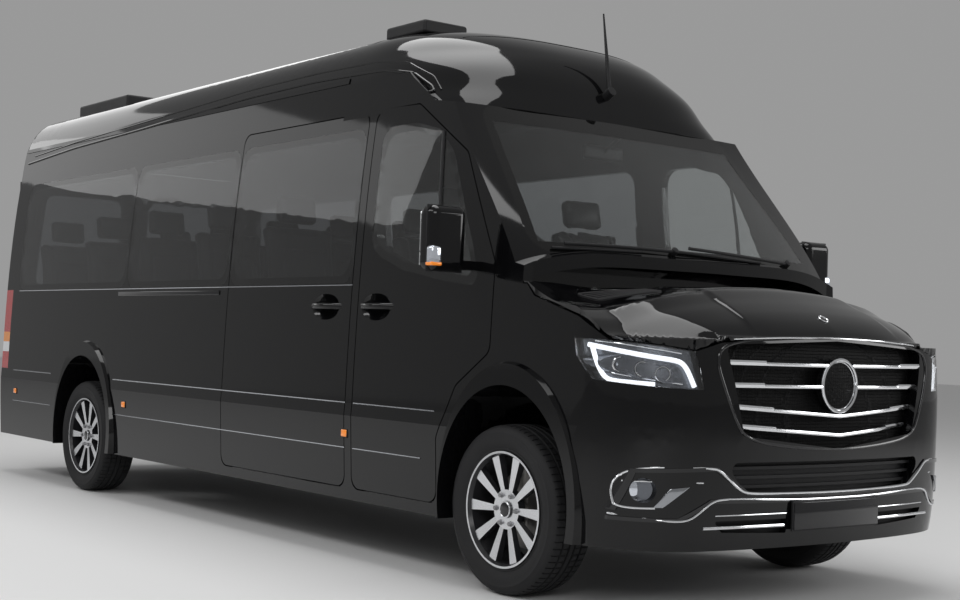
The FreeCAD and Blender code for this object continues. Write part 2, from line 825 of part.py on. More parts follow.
# Sliding door on the right side with its glass
slide_glass, hole = side_pane(-1, band_line(mm.slide_front - mm.pane_gap, mm.slide_rear + mm.pane_gap))
dish, bar = grip(-1, FRONT_AXLE + mm.slide_front - mm.handle_set)
node("sliding_door", joined([door_panel(-1, slide_door_line).cut([slide_glass, hole, dish]), bar]))
node("sliding_door_glass", slide_glass)

# Fixed side glass
fixed = {
    "right": ((mm.slide_rear, mm.pane_seam), (mm.pane_seam, mm.glass_rear)),
    "left": ((mm.slide_front, mm.slide_rear), (mm.slide_rear, mm.pane_seam), (mm.pane_seam, mm.glass_rear)),
}
for name, side in SIDES:
    panes = []
    for front, rear in fixed[name]:
        glass, hole = side_pane(side, band_line(front - mm.pane_gap, rear + mm.pane_gap))
        panes.append(glass)
        shell_cuts += [glass, hole]
    node(f"side_glass_{name}", Part.makeCompound(panes))

# Windscreen
screen_line = [
    (mm.screen_half_top, mm.screen_top), (-mm.screen_half_top, mm.screen_top),
    (-mm.screen_half_foot, mm.screen_foot), (mm.screen_half_foot, mm.screen_foot),
]
screen_back = FRONT_AXLE - mm.screen_run
windscreen = pane(prism("x", screen_line, mm.glass_round, screen_back, NOSE + mm.overrun).common(hood_air(0.0)))
node("windscreen", windscreen)
shell_cuts.append(windscreen)
shell_cuts.append(aperture("x", screen_line, mm.glass_round, screen_back, NOSE + mm.overrun))

# Rear doors with their glass
rear_band = OUTER.cut(OUTER.translated(Vector(mm.wall, 0, 0)))
for name, side in SIDES:
    line = [
        (side * mm.gap, mm.rear_door_low), (side * mm.rear_door_half, mm.rear_door_low),
        (side * mm.rear_door_half, mm.glass_low), (side * mm.rear_door_top_half, mm.rear_door_high),
        (side * mm.gap, mm.rear_door_high),
    ]
    glass_line = [
        (side * mm.pane_margin, mm.glass_low), (side * (mm.rear_door_half - mm.pane_margin), mm.glass_low),
        (side * (mm.rear_door_top_half - mm.pane_margin), mm.glass_high), (side * mm.pane_margin, mm.glass_high),
    ]
    deep = TAIL + mm.rear_depth
    panel = rear_band.common(prism("x", line, mm.corner_round, TAIL - mm.overrun, deep))
    glass = pane(prism("x", glass_line, mm.glass_round, TAIL - mm.overrun, deep))
    hole = aperture("x", glass_line, mm.glass_round, TAIL - mm.overrun, deep)
    node(f"rear_door_{name}", panel.cut([glass, hole]))
    node(f"rear_door_glass_{name}", glass)
wide = [
    (-mm.rear_door_half - mm.gap, mm.rear_door_low - mm.gap), (mm.rear_door_half + mm.gap, mm.rear_door_low - mm.gap),
    (mm.rear_door_half + mm.gap, mm.glass_low), (mm.rear_door_top_half + mm.gap, mm.rear_door_high + mm.gap),
    (-mm.rear_door_top_half - mm.gap, mm.rear_door_high + mm.gap), (-mm.rear_door_half - mm.gap, mm.glass_low),
]
shell_cuts.append(prism("x", wide, mm.corner_round, TAIL - mm.overrun, TAIL + mm.rear_depth))

# Bonnet
hood_side = at_front([
    (mm.firewall_set, mm.hood_corner_z), (mm.hood_corner_x, mm.hood_corner_z),
    (mm.hood_bend_x, mm.hood_bend_z), (mm.hood_shut_x, mm.hood_shut_z), (mm.hood_mid_x, mm.hood_front_z),
    (mm.front_overhang, mm.hood_front_z - mm.hood_lead_drop), (mm.front_overhang + mm.overrun, mm.hood_front_z),
    (mm.front_overhang + mm.overrun, mm.glass_high), (mm.firewall_set, mm.glass_high),
])


def hood_plan(grow):
    """Everything ahead of the curved rear edge of the bonnet."""
    half = mm.hood_rear_half
    low = Vector(FRONT_AXLE + mm.hood_rear_side_x + grow, -half, mm.lamp_low)
    middle = Vector(FRONT_AXLE + mm.hood_rear_x + grow, 0, mm.lamp_low)
    high = Vector(low.x, half, mm.lamp_low)
    wide = mm.half_width + mm.overrun
    far = NOSE + mm.overrun
    rest = [high, Vector(high.x, wide, high.z), Vector(far, wide, high.z), Vector(far, -wide, high.z)]
    rest += [Vector(low.x, -wide, low.z), low]
    wire = Part.Wire([Part.Arc(low, middle, high).toShape()] + polyline_edges(rest))
    return Part.Face(wire).extrude(Vector(0, 0, mm.roof_height))
hood_front = [
    (0.0, mm.hood_lead_z), (mm.hood_lead_half, mm.hood_lead_z - mm.hood_lead_fall),
    (mm.lamp_inner_half, mm.lamp_inner_top), (mm.half_width + mm.overrun, mm.lamp_outer_top),
    (mm.half_width + mm.overrun, mm.glass_high),
]
hood_front += [(-y, z) for y, z in hood_front[:0:-1]]
hood_cut = prism("y", hood_side, mm.skin, -mm.half_width - mm.overrun, mm.half_width + mm.overrun)
hood_cut = hood_cut.common(prism("x", hood_front, mm.skin, FRONT_AXLE, NOSE + mm.overrun)).common(hood_plan(0.0))
hood_tool = prism("y", inset_outline(hood_side, mm.gap), mm.skin, -FAR_OUT, FAR_OUT)
hood_tool = hood_tool.common(prism("x", inset_outline(hood_front, mm.gap), mm.skin, FRONT_AXLE, NOSE + mm.overrun))
hood_tool = hood_tool.common(hood_plan(mm.gap))
node("bonnet", OUTER.cut(PANEL_INNER).common(hood_tool))
shell_cuts.append(hood_cut)

# Headlamps: outline in front view and in side view
lamp_side = at_front([
    (mm.lamp_rear_x, mm.lamp_outer_top), (mm.lamp_rear_x + mm.lamp_rear_lean, mm.lamp_outer_low + mm.lamp_rear_rise),
    (mm.lamp_low_x, mm.lamp_outer_low), (mm.front_overhang, mm.lamp_inner_low), (mm.front_overhang, mm.glass_low),
    (mm.lamp_rear_x, mm.glass_low),
])
lamps = {}
for name, side in SIDES:
    front = [
        (side * mm.lamp_inner_half, mm.lamp_inner_top), (side * (mm.lamp_inner_half - mm.lamp_inner_lean), mm.lamp_inner_low),
        (side * mm.lamp_low_half, mm.lamp_low), (side * (mm.half_width + mm.overrun), mm.lamp_outer_low),
        (side * (mm.half_width + mm.overrun), mm.lamp_outer_top),
    ]
    tool = prism("x", front, mm.skin, FRONT_AXLE + mm.lamp_rear_x - mm.wall, NOSE + mm.overrun)
    tool = tool.common(side_prism(side, lamp_side, mm.skin, mm.half_width))
    lamps[name] = tool
    node(f"headlamp_lens_{name}", SKIN.common(tool))
    unit = PANEL_INNER.cut(LAMP_INNER).common(tool)
    for y_share, z_share in PROJECTOR_SHARES:
        back = Vector(FRONT_AXLE, side * y_share * mm.half_width, z_share * mm.roof_height)
        barrel = rod(back, back + Vector(mm.front_overhang, 0, 0), mm.projector_radius)
        unit = joined([unit, SKIN_INNER.cut(LAMP_INNER).common(tool).common(barrel)])
    node(f"headlamp_unit_{name}", unit)
shell_cuts += list(lamps.values())

# Grille: outline, chrome bars and the dark panel behind them
grille_line = [
    (0.0, mm.grille_tip), (mm.grille_half_low, mm.grille_low), (mm.grille_half_high, mm.grille_high),
    (0.0, mm.grille_top),
]
grille_line += [(-y, z) for y, z in grille_line[2:0:-1]]
grille_tool = prism("x", grille_line, mm.corner_round / 2, FRONT_AXLE + mm.lamp_rear_x, NOSE + mm.overrun)
node("grille_panel", WALL_INNER.cut(LAMP_INNER).common(grille_tool))
bars = []
for level, half, sag in zip(BAR_LEVEL_SHARES, BAR_HALF_SHARES, BAR_SAG_SHARES):
    z = mm.grille_low + level * (mm.grille_high - mm.grille_low)
    y = half * mm.grille_half_high
    low = z - sag * (mm.grille_high - mm.grille_low)
    line = [
        (0.0, low - mm.bar_height / 2), (y, z - mm.bar_height / 2), (y, z + mm.bar_height / 2),
        (0.0, low + mm.bar_height / 2), (-y, z + mm.bar_height / 2), (-y, z - mm.bar_height / 2),
    ]
    bars.append(prism("x", line, mm.skin, FRONT_AXLE + mm.lamp_rear_x, NOSE + mm.overrun))
disc = rod(Vector(FRONT_AXLE, 0, mm.roundel_z), Vector(NOSE + mm.overrun, 0, mm.roundel_z), mm.roundel_radius)
grille_band = OUTER.cut(WALL_INNER)
node("grille_bars", joined([grille_band.common(grille_tool).common(tool) for tool in bars + [disc]]))
shell_cuts.append(grille_tool)

# Front bumper
bumper_side = at_front([
    (mm.arch_forward, mm.sill_bottom - mm.overrun), (mm.arch_forward, mm.bumper_seam_z),
    (mm.bumper_bend_x, mm.bumper_seam_z), (mm.lamp_low_x, mm.lamp_outer_low + mm.gap),
    (mm.bumper_top_x, mm.lamp_outer_low + mm.gap), (mm.bumper_top_x, mm.glass_low),
    (mm.front_overhang + mm.overrun, mm.glass_low), (mm.front_overhang + mm.overrun, mm.sill_bottom - mm.overrun),
])
bumper_tool = prism("y", bumper_side, mm.skin, -mm.half_width - mm.overrun, mm.half_width + mm.overrun)
lower_line = [
    (mm.intake_half_low, mm.intake_low), (mm.intake_half_high, mm.intake_high),
    (-mm.intake_half_high, mm.intake_high), (-mm.intake_half_low, mm.intake_low),
]
intake_tool = prism("x", lower_line, mm.corner_round / 2, FRONT_AXLE + mm.lamp_rear_x, NOSE + mm.overrun)


def ribbon(shares, width):
    """Run a narrow band across the nose through points given from the middle outward."""
    half = [(y * mm.half_width, z * mm.roof_height) for y, z in shares]
    run = [(-y, z) for y, z in half] + half[-2::-1]
    line = offset_line(run, width / 2) + offset_line(run, -width / 2)[::-1]
    return prism("x", line, 0.0, FRONT_AXLE + mm.lamp_rear_x, NOSE + mm.overrun)


bright = [ribbon(shares, mm.trim_width) for shares in (TRIM_SHARES, LIP_SHARES)]
bright = joined([PROUD.cut(PANEL_INNER).common(band).cut(well_air) for band in bright])
node("bumper_trim", bright)
fog_rooms = []
fog_lamps = []
for name, side in SIDES:
    turn = math.radians(mm.fog_turn)
    ahead = Vector(math.cos(turn), side * math.sin(turn), 0)
    middle = Vector(FRONT_AXLE + mm.fog_x, side * mm.fog_half, mm.fog_z)
    fog_rooms.append(rod(middle, middle + ahead * mm.overrun, mm.fog_radius + mm.fit_gap))
    lamp = rod(middle, middle + ahead * mm.overrun, mm.fog_radius)
    fog_lamps.append(PANEL_INNER.common(lamp))
node("fog_lamps", Part.makeCompound(fog_lamps))
slat_rooms = []
for side in (-1, 1):
    line = [(side * y * mm.half_width, z * mm.roof_height) for y, z in LOWER_SLAT_SHARES]
    slat_rooms.append(prism("x", line, mm.skin, FRONT_AXLE + mm.lamp_rear_x, NOSE + mm.overrun))
nose_cuts = [hood_cut, grille_tool, intake_tool, bright] + list(lamps.values()) + well_air + fog_rooms + slat_rooms
bumper = HOLLOW.common(bumper_tool).cut(nose_cuts)
node("front_bumper", bumper)
slats = []
for level in SLAT_SHARES:
    z = mm.intake_low + level * (mm.intake_high - mm.intake_low)
    slats.append(box(FRONT_AXLE, NOSE, -mm.half_width, mm.half_width, z - mm.slat / 2, z + mm.slat / 2))
slats.append(WALL_INNER.cut(LAMP_INNER))
nets = [joined([PANEL_INNER.cut(LAMP_INNER).common(tool).common(intake_tool) for tool in slats])]
for room in slat_rooms:
    middle = room.BoundBox.Center.z
    slat = box(FRONT_AXLE, NOSE, -FAR_OUT, FAR_OUT, middle - mm.slat / 2, middle + mm.slat / 2)
    back = SKIN_INNER.cut(WALL_INNER).common(room)
    nets.append(joined([PANEL_INNER.cut(WALL_INNER).common(room), back.common(slat)]))
node("intake_grille", Part.makeCompound(nets))
shell_cuts.append(bumper_tool)

# Tail lamps and rear bumper
for name, side in SIDES:
    tool = box(TAIL - mm.overrun, TAIL + mm.tail_lamp_reach, side * (mm.rear_door_half + mm.gap),
               side * (mm.half_width + mm.overrun), mm.tail_lamp_low, mm.tail_lamp_high)
    node(f"tail_lamp_{name}", HOLLOW.common(tool))
    shell_cuts.append(tool)
rear_tool = box(TAIL - mm.overrun, REAR_AXLE - mm.rear_bumper_start, -mm.half_width - mm.overrun,
                mm.half_width + mm.overrun, mm.sill_bottom - mm.overrun, mm.rear_door_low - mm.gap)
node("rear_bumper", HOLLOW.common(rear_tool))
shell_cuts.append(rear_tool)

# Floor, firewall and wheel tubs
firewall = box(FRONT_AXLE - mm.firewall_set - mm.firewall_thickness, FRONT_AXLE - mm.firewall_set,
               -mm.half_width, mm.half_width, mm.floor_top - mm.floor_thickness, mm.screen_foot)
shell_adds.append(WALL_INNER.common(firewall))
passes = []
for axle in (FRONT_AXLE, REAR_AXLE):
    passes.append(box(axle - mm.spring_half, axle + mm.spring_half, -mm.track_half, mm.track_half, 0, RAIL_LOW))
for tub in well_tubs:
    shell_adds.append(WALL_INNER.common(tub).cut(passes))
floor = WALL_INNER.common(box(TAIL, FRONT_AXLE - mm.firewall_set - mm.firewall_thickness, -mm.half_width, mm.half_width,
                              mm.floor_top - mm.floor_thickness, mm.floor_top))
door_rooms = [side_prism(side, front_door_line, mm.corner_round, DOOR_DEPTH) for name, side in SIDES]
door_rooms.append(side_prism(-1, slide_door_line, mm.corner_round, DOOR_DEPTH))
rear_low = mm.rear_door_low - mm.gap
rear_room = box(TAIL - mm.overrun, TAIL + mm.rear_depth, -mm.half_width, mm.half_width, rear_low, mm.roof_height)
floor = floor.cut(door_rooms + [rear_room] + well_tubs)
node("cabin_floor", floor)

# Side strips and wheel-arch flares
flares = []
for name, side in SIDES:
    for axle in (FRONT_AXLE, REAR_AXLE):
        centre = Vector(axle + mm.arch_forward + mm.flare_forward, 0, mm.arch_centre_height)
        rings = []
        for grow, y in ((0.0, mm.half_width - mm.waist_lean), (-mm.flare_proud, mm.half_width + mm.flare_proud)):
            middle = Vector(centre.x, side * y, centre.z)
            tall = middle + Vector(0, 0, mm.arch_rise + mm.flare_top + grow)
            broad = middle + Vector(mm.arch_half_length + mm.flare_side + grow, 0, 0)
            rings.append(Part.Wire(Part.Ellipse(tall, broad, middle).toShape()))
        flare = Part.makeLoft(rings, True, True)
        under = box(TAIL, NOSE, -mm.half_width - mm.overrun, mm.half_width + mm.overrun, -mm.roof_height, mm.sill_bottom)
        flare = flare.cut([OUTER, under] + well_air)
        flares.append(max(flare.Solids, key=lambda solid: solid.Volume))
node("arch_flares", Part.makeCompound(flares))

# Body: the roof is parted at the gutter, the sides behind the front doors, the wings ahead of them
body = HOLLOW.cut(shell_cuts)
roof_line = [
    (TAIL - mm.overrun, mm.rear_door_high), (TAIL + mm.rear_depth, mm.rear_door_high),
    (TAIL + mm.rear_depth, mm.gutter_height), (FRONT_AXLE + mm.cap_rear_x, mm.gutter_height),
    (FRONT_AXLE + mm.cap_fold_x, mm.door_top), (FRONT_AXLE + mm.cap_front_x, mm.screen_top),
    (NOSE, mm.screen_top), (NOSE, mm.roof_height + mm.overrun), (TAIL - mm.overrun, mm.roof_height + mm.overrun),
]
roof_tool = prism("y", roof_line, 0.0, -FAR_OUT, FAR_OUT)
rail_room = box(TAIL + mm.rear_depth, FRONT_AXLE + mm.cap_rear_x, -FAR_OUT, FAR_OUT, mm.rail_low, mm.rail_high)
node("roof_panel", joined([body.common(roof_tool), PROUD.cut(OUTER).common(rail_room)]))
side_line = [
    (TAIL - mm.overrun, -mm.overrun), (FRONT_AXLE + mm.door_foot_x, -mm.overrun),
    (FRONT_AXLE + mm.door_foot_x, mm.door_low + mm.corner_round),
    (FRONT_AXLE + mm.front_door_rear + mm.corner_round, mm.door_low + mm.corner_round),
    (FRONT_AXLE + mm.front_door_rear + mm.corner_round, mm.gutter_height), (TAIL - mm.overrun, mm.gutter_height),
]
wing_line = [
    (FRONT_AXLE + mm.door_foot_x, -mm.overrun), (NOSE, -mm.overrun),
    (NOSE, mm.door_mirror_z), (FRONT_AXLE + mm.door_foot_x, mm.door_mirror_z),
]
taken = [roof_tool]
for index, (name, side) in enumerate(SIDES):
    side_tool = prism("y", side_line, 0.0, side * FAR_OUT, side * mm.side_panel_half).cut(roof_tool)
    rear_tub = shell_adds[3 + index].cut(well_air)
    node(f"side_panel_{name}", joined([body.common(side_tool), rear_tub]))
    wing_tool = prism("y", wing_line, 0.0, side * FAR_OUT, side * mm.wing_half)
    node(f"front_wing_{name}", body.common(wing_tool))
    taken += [side_tool, wing_tool]
rest = body.cut(taken)
node("body_shell", joined([rest] + [add.cut(well_air) for add in shell_adds[:3]]))

ENVELOPE = doc.addObject("Part::Feature", "envelope")
ENVELOPE.Shape = OUTER


def kept(piece, name):
    """Take a finished object of the document as one of the part's pieces."""
    piece.Label = name
    NODES.append(piece)
    return piece


def side_low(side, outer, width):
    """Give the lower Y of something that ends at outer on one side."""
    return f"-({outer})" if side < 0 else f"{outer} - ({width})"


# Frame rails and engine
RAIL_FOOT = "floor_top - floor_thickness - rail_height"
rails = []
for name, side in SIDES:
    size = ("wheelbase + rear_overhang - rear_bumper_start / 2 + engine_front", "rail_width", "rail_height")
    place = (f"{REAR} - rear_overhang + rear_bumper_start / 2", side_low(side, "rail_half", "rail_width"), RAIL_FOOT)
    rails.append(block(f"rail_{name}", size, place))
for index, share in enumerate(CROSS_SHARES):
    size = ("rail_width", "2 * rail_half", "rail_height - rail_width / 2")
    place = (f"{REAR} + {share} * wheelbase - rail_width / 2", "-rail_half", RAIL_FOOT)
    rails.append(block(f"cross_{index}", size, place))
kept(merged("ladder", rails), "frame_rails")
engine_place = (f"{FRONT} + engine_front - engine_length - wall", "-engine_width / 2", "engine_low")
engine = block("engine", ("engine_length", "engine_width", "engine_height"), engine_place)
kept(engine, "engine_block")

# Rear axle: tube, final drive, shaft, leaf springs and brake discs
axle_parts = [
    drum("axle_beam", "axle_tube", "2 * (track_half - disc_set)", (REAR, "disc_set - track_half", "tyre_radius"), ALONG_Y),
    bind(doc.addObject("Part::Sphere", "final_drive"), {"Radius": "diff_radius"}, (REAR, "0", "tyre_radius")),
    drum("shaft", "shaft_radius", "wheelbase - subframe_reach", (REAR, "0", "tyre_radius"), ALONG_X),
]
for name, side in SIDES:
    low = side_low(side, "track_half - disc_set", "disc_thickness")
    axle_parts.append(drum(f"rear_disc_{name}", "disc_radius", "disc_thickness", (REAR, low, "tyre_radius"), ALONG_Y))
    low = side_low(side, "rail_half", "rail_width")
    for index, share in enumerate(LEAF_SHARES):
        size = (f"2 * {share} * spring_half", "rail_width", "slat")
        place = (f"{REAR} - {share} * spring_half", low, f"tyre_radius + axle_tube + {index - 1} * slat")
        axle_parts.append(block(f"leaf_{name}_{index}", size, place))
    for end, x in (("front", f"{REAR} + spring_half - rail_width"), ("rear", f"{REAR} - spring_half")):
        height = f"{RAIL_FOOT} - tyre_radius - axle_tube - slat"
        place = (x, low, "tyre_radius + axle_tube + slat")
        axle_parts.append(block(f"shackle_{name}_{end}", ("rail_width", "rail_width", height), place))
kept(merged("axle", axle_parts), "rear_axle")

# Front subframe with its two lower arms
frame_parts = [block(
    "subframe_beam", ("2 * subframe_reach", "2 * rail_half", "subframe_height"),
    (f"{FRONT} - subframe_reach", "-rail_half", "subframe_low"),
)]
for name, side in SIDES:
    sign = "-" if side < 0 else ""
    tip = f"{sign}(track_half - kingpin_set - upright_radius - gap)"
    arm = doc.addObject("PartDesign::Body", f"arm_{name}")
    line = [
        (f"{FRONT} - subframe_reach", f"{sign}rail_half"), (f"{FRONT} - arm_tip", tip),
        (f"{FRONT} + arm_tip", tip), (f"{FRONT} + subframe_reach", f"{sign}rail_half"),
    ]
    profile = outline(arm, f"arm_line_{name}", "XY_Plane", line, "subframe_low")
    padded(arm, f"arm_plate_{name}", profile, "disc_thickness")
    frame_parts.append(arm)
    size = ("2 * subframe_reach", "rail_width", f"{RAIL_FOOT} - subframe_low")
    place = (f"{FRONT} - subframe_reach", side_low(side, "rail_half", "rail_width"), "subframe_low")
    frame_parts.append(block(f"post_{name}", size, place))
room = block("engine_room", ("engine_length + wall", "engine_width", "engine_height"), engine_place)
kept(carved("subframe", merged("subframe_parts", frame_parts), room), "front_subframe")

# Exhaust under the floor and fuel tank beside the left rail
silencer_x = f"{REAR} + {CROSS_SHARES[1]} * wheelbase - silencer_length / 2"
pipe_z = f"{RAIL_FOOT} - exhaust_radius - fit_gap"
silencer_z = f"{RAIL_FOOT} - silencer_radius - gap"
kept(merged("exhaust_line", [
    drum("silencer", "silencer_radius", "silencer_length", (silencer_x, "-exhaust_half", silencer_z), ALONG_X),
    drum("down_pipe", "exhaust_radius", f"{FRONT} + engine_front - engine_length - wall - ({silencer_x}) - fit_gap",
         (silencer_x, "-exhaust_half", pipe_z), ALONG_X),
    block("hanger", ("rail_width", "rail_width", "silencer_radius + gap"),
          (f"{silencer_x} + silencer_length / 2 - rail_width / 2", "-exhaust_half - rail_width / 2", silencer_z)),
    drum("outlet", "exhaust_radius", "silencer_radius + exhaust_half",
         (f"{silencer_x} + exhaust_radius + gap", "-exhaust_half - silencer_radius - exhaust_half", silencer_z), ALONG_Y),
]), "exhaust")
tank_place = (f"{FRONT} - tank_set - tank_length", "rail_half", "floor_top - floor_thickness - tank_height")
kept(soft_block("tank", ("tank_length", "tank_width", "tank_height"), "tank_round", tank_place), "fuel_tank")

# Knuckles: upright, stub and brake disc
for name, side in SIDES:
    pin = "track_half - kingpin_set"
    stub = "kingpin_set + rim_width / 2 - spoke_set - 2 * gap - bolt_depth"
    upright = drum(f"upright_{name}", "upright_radius", "upright_high - upright_low",
                   (FRONT, f"{'-' if side < 0 else ''}({pin})", "upright_low"))
    stub_low = side_low(side, f"{pin} + {stub}", stub)
    axle_stub = drum(f"stub_{name}", "stub_radius", stub, (FRONT, stub_low, "tyre_radius"), ALONG_Y)
    disc_low = side_low(side, f"{pin} + shield_set", "disc_thickness")
    disc = drum(f"front_disc_{name}", "disc_radius", "disc_thickness", (FRONT, disc_low, "tyre_radius"), ALONG_Y)
    kept(merged(f"knuckle_parts_{name}", [upright, axle_stub, disc]), f"knuckle_{name}")


# Wheels, with their outer face towards +Y
def tyre(name):
    body = doc.addObject("PartDesign::Body", f"tyre_body_{name}")
    half = [
        ("rim_bead", "rim_width / 2 - rim_lip"), ("rim_radius", "rim_width / 2"),
        ("rim_radius + rim_lip / 4", "(rim_width + rim_lip) / 2"),
        ("rim_radius + 0.4 * (tyre_radius - rim_radius)", "tyre_width / 2"),
        ("tyre_radius - tyre_shoulder", "tyre_width / 2 - tyre_shoulder / 3"),
        ("tyre_radius - tyre_shoulder / 5", "tyre_width / 2 - 0.8 * tyre_shoulder"),
        ("tyre_radius", "tyre_width / 2 - 1.6 * tyre_shoulder"),
    ]
    line = [(x, f"-({y})") for x, y in half] + half[::-1]
    turned(body, f"tyre_ring_{name}", outline(body, f"tyre_line_{name}", "XY_Plane", line))
    return body


def rim(name):
    body = doc.addObject("PartDesign::Body", f"rim_body_{name}")
    face = "(rim_width / 2 - spoke_set)"
    inner = "(rim_bead - rim_barrel_wall)"
    line = [
        (inner, "-rim_width / 2"), ("rim_radius", "-(rim_width + rim_lip) / 2"),
        ("rim_radius", "-rim_width / 2"), ("rim_bead", "rim_lip - rim_width / 2"),
        ("rim_bead", "rim_width / 2 - rim_lip"), ("rim_radius", "rim_width / 2"),
        ("rim_radius", "(rim_width + rim_lip) / 2"), ("rim_bead", "(rim_width + rim_lip) / 2"),
        (inner, "rim_width / 2 - rim_lip"),
    ]
    turned(body, f"barrel_{name}", outline(body, f"barrel_line_{name}", "XY_Plane", line))
    hub = [
        ("bore_radius", f"{face} - hub_depth"), ("hub_radius", f"{face} - hub_depth"),
        ("hub_radius", f"{face} - rim_dish"), ("cap_radius", f"{face} - rim_dish"),
        ("cap_radius", f"{face} - rim_dish + cap_proud"), ("0", f"{face} - rim_dish + cap_proud"),
        ("0", f"{face} - rim_dish - gap"), ("bore_radius", f"{face} - rim_dish - gap"),
    ]
    turned(body, f"hub_{name}", outline(body, f"hub_line_{name}", "XY_Plane", hub))
    spoke_line = [
        ("hub_radius - spoke_inner", "-spoke_inner / 2"), (f"{inner} + rim_barrel_wall / 2", "-spoke_outer / 2"),
        (f"{inner} + rim_barrel_wall / 2", "spoke_outer / 2"), ("hub_radius - spoke_inner", "spoke_inner / 2"),
    ]
    profile = outline(body, f"spoke_line_{name}", "XZ_Plane", spoke_line, f"-{face}")
    spoke = padded(body, f"spoke_{name}", profile, "spoke_depth")
    repeated(body, f"spokes_{name}", spoke, "spoke_count")
    dish = [("hub_radius - spoke_inner", f"{face} + rim_dish"), ("hub_radius - spoke_inner", f"{face} - rim_dish"),
            ("hub_radius", f"{face} - rim_dish"), (inner, f"{face}"), (inner, f"{face} + rim_dish")]
    turned(body, f"dish_{name}", outline(body, f"dish_line_{name}", "XY_Plane", dish), "PartDesign::Groove")
    place = ("bolt_circle", "0")
    bolt = disc_sketch(body, f"bolt_ring_{name}", "XZ_Plane", place, "bolt_radius", f"-({face} - rim_dish)")
    doc.recompute()
    well = padded(body, f"bolt_well_{name}", bolt, "bolt_depth", "PartDesign::Pocket")
    repeated(body, f"bolt_wells_{name}", well, "bolt_count")
    return body


for end, axle in (("front", FRONT), ("rear", REAR)):
    for name, side in SIDES:
        middle = (axle, f"{'-' if side < 0 else ''}track_half", "tyre_radius")
        turn = HALF_TURN if side < 0 else None
        kept(bind(tyre(f"{end}_{name}"), {}, middle, turn), f"tyre_{end}_{name}")
        kept(bind(rim(f"{end}_{name}"), {}, middle, turn), f"rim_{end}_{name}")

# Door mirrors: housing on a low arm
for name, side in SIDES:
    middle = f"{'-' if side < 0 else ''}mirror_half"
    place = (f"{FRONT} + mirror_x - mirror_depth / 2", f"{middle} - mirror_width / 2", "mirror_z - mirror_height / 2")
    housing = soft_block(f"housing_{name}", ("mirror_depth", "mirror_width", "mirror_height"), "mirror_round", place)
    reach = "mirror_half - half_width + waist_lean + wall"
    place = (f"{FRONT} + mirror_x - mirror_arm", side_low(side, "mirror_half", reach),
             "mirror_z - mirror_height / 2 + mirror_arm / 2")
    size = ("2 * mirror_arm", reach, "1.5 * mirror_arm")
    arm = carved(f"mirror_arm_{name}", block(f"arm_bar_{name}", size, place), ENVELOPE)
    kept(merged(f"mirror_{name}", [housing, arm]), f"door_mirror_{name}")

# Roof unit and front vent, carved to the roof
unit = soft_block(
    "unit", ("roof_unit_length", "2 * roof_unit_half", "2 * roof_unit_height"), "vent_round",
    (f"{REAR} - rear_overhang + roof_unit_rear", "-roof_unit_half", "roof_height - roof_unit_height"),
)
vent = soft_block(
    "vent", ("vent_length", "vent_width", "2 * vent_height"), "vent_round",
    (f"{FRONT} + vent_x", "-vent_y - vent_width / 2", "roof_height - vent_height"),
)
carved_units = [carved("unit_on_roof", unit, ENVELOPE), carved("vent_on_roof", vent, ENVELOPE)]
doc.recompute()
node("roof_unit", Part.makeCompound([piece.Shape for piece in carved_units]))
foot = Vector(FRONT_AXLE + mm.antenna_x, 0, mm.antenna_z)
inward = Vector(-mm.antenna_reach, 0, -mm.antenna_reach / 2)
puck = rod(foot + inward * 2, foot, mm.antenna_base)
mast = Part.makeCone(mm.antenna_base / 2, mm.antenna_radius, mm.antenna_height, foot + inward / 2,
                     Vector(-mm.antenna_lean, 0, mm.antenna_height))
node("antenna", joined([puck.cut(OUTER), mast]))

# Dashboard and steering wheel
dash_rise = mm.dash_top - mm.dash_low
dash_line = [(FRONT_AXLE + mm.dash_front - a * mm.dash_depth, mm.dash_low + b * dash_rise) for a, b in DASH_SHARES]
dash = WALL_INNER.common(prism("y", dash_line, mm.seat_round, -mm.half_width, mm.half_width)).cut(door_rooms)
dash = node("dashboard", dash)
tilt = FreeCAD.Rotation(Vector(0, 1, 0), -mm.steering_tilt)
hub = (f"{FRONT} + steering_x", "steering_y", "steering_z")
ring = doc.addObject("Part::Torus", "steering_ring")
bind(ring, {"Radius1": "steering_radius", "Radius2": "steering_rim"}, hub, tilt)
down = FreeCAD.Rotation(Vector(0, 1, 0), FULL_TURN / 2 - mm.steering_tilt)
column = drum("column", "2 * steering_rim", "steering_radius", hub, down)
spoke = drum("steering_spoke", "steering_rim", "2 * steering_radius",
             (f"{FRONT} + steering_x", "steering_y - steering_radius", "steering_z"), ALONG_Y)
kept(carved("steering", merged("steering_parts", [ring, column, spoke]), dash), "steering_wheel")

# Seats: one is modelled, then set out in the cab and in rows
cushion = soft_block("cushion", ("seat_depth", "seat_width", "seat_thickness"), "seat_round",
                     ("-seat_depth", "-seat_width / 2", "-seat_thickness"))
squab = soft_block("squab", ("back_thickness", "seat_width", "back_height + seat_thickness"), "seat_round",
                   ("-back_thickness", "-seat_width / 2", "-seat_thickness"))
head = soft_block("head", ("head_thickness", "head_width", "head_height + seat_round"), "seat_round",
                  ("-head_thickness", "-head_width / 2", "back_height - seat_round"))
doc.recompute()
upright = joined([squab.Shape, head.Shape])
upright.rotate(Vector(0, 0, 0), Vector(0, 1, 0), -mm.back_lean)
upright.translate(Vector(mm.seat_round - mm.seat_depth, 0, 0))
seat_solids = [upright, cushion.Shape.cut(upright)]


def seat(x, y):
    place = Vector(x, y, mm.floor_top + mm.seat_height)
    return [solid.translated(place) for solid in seat_solids]


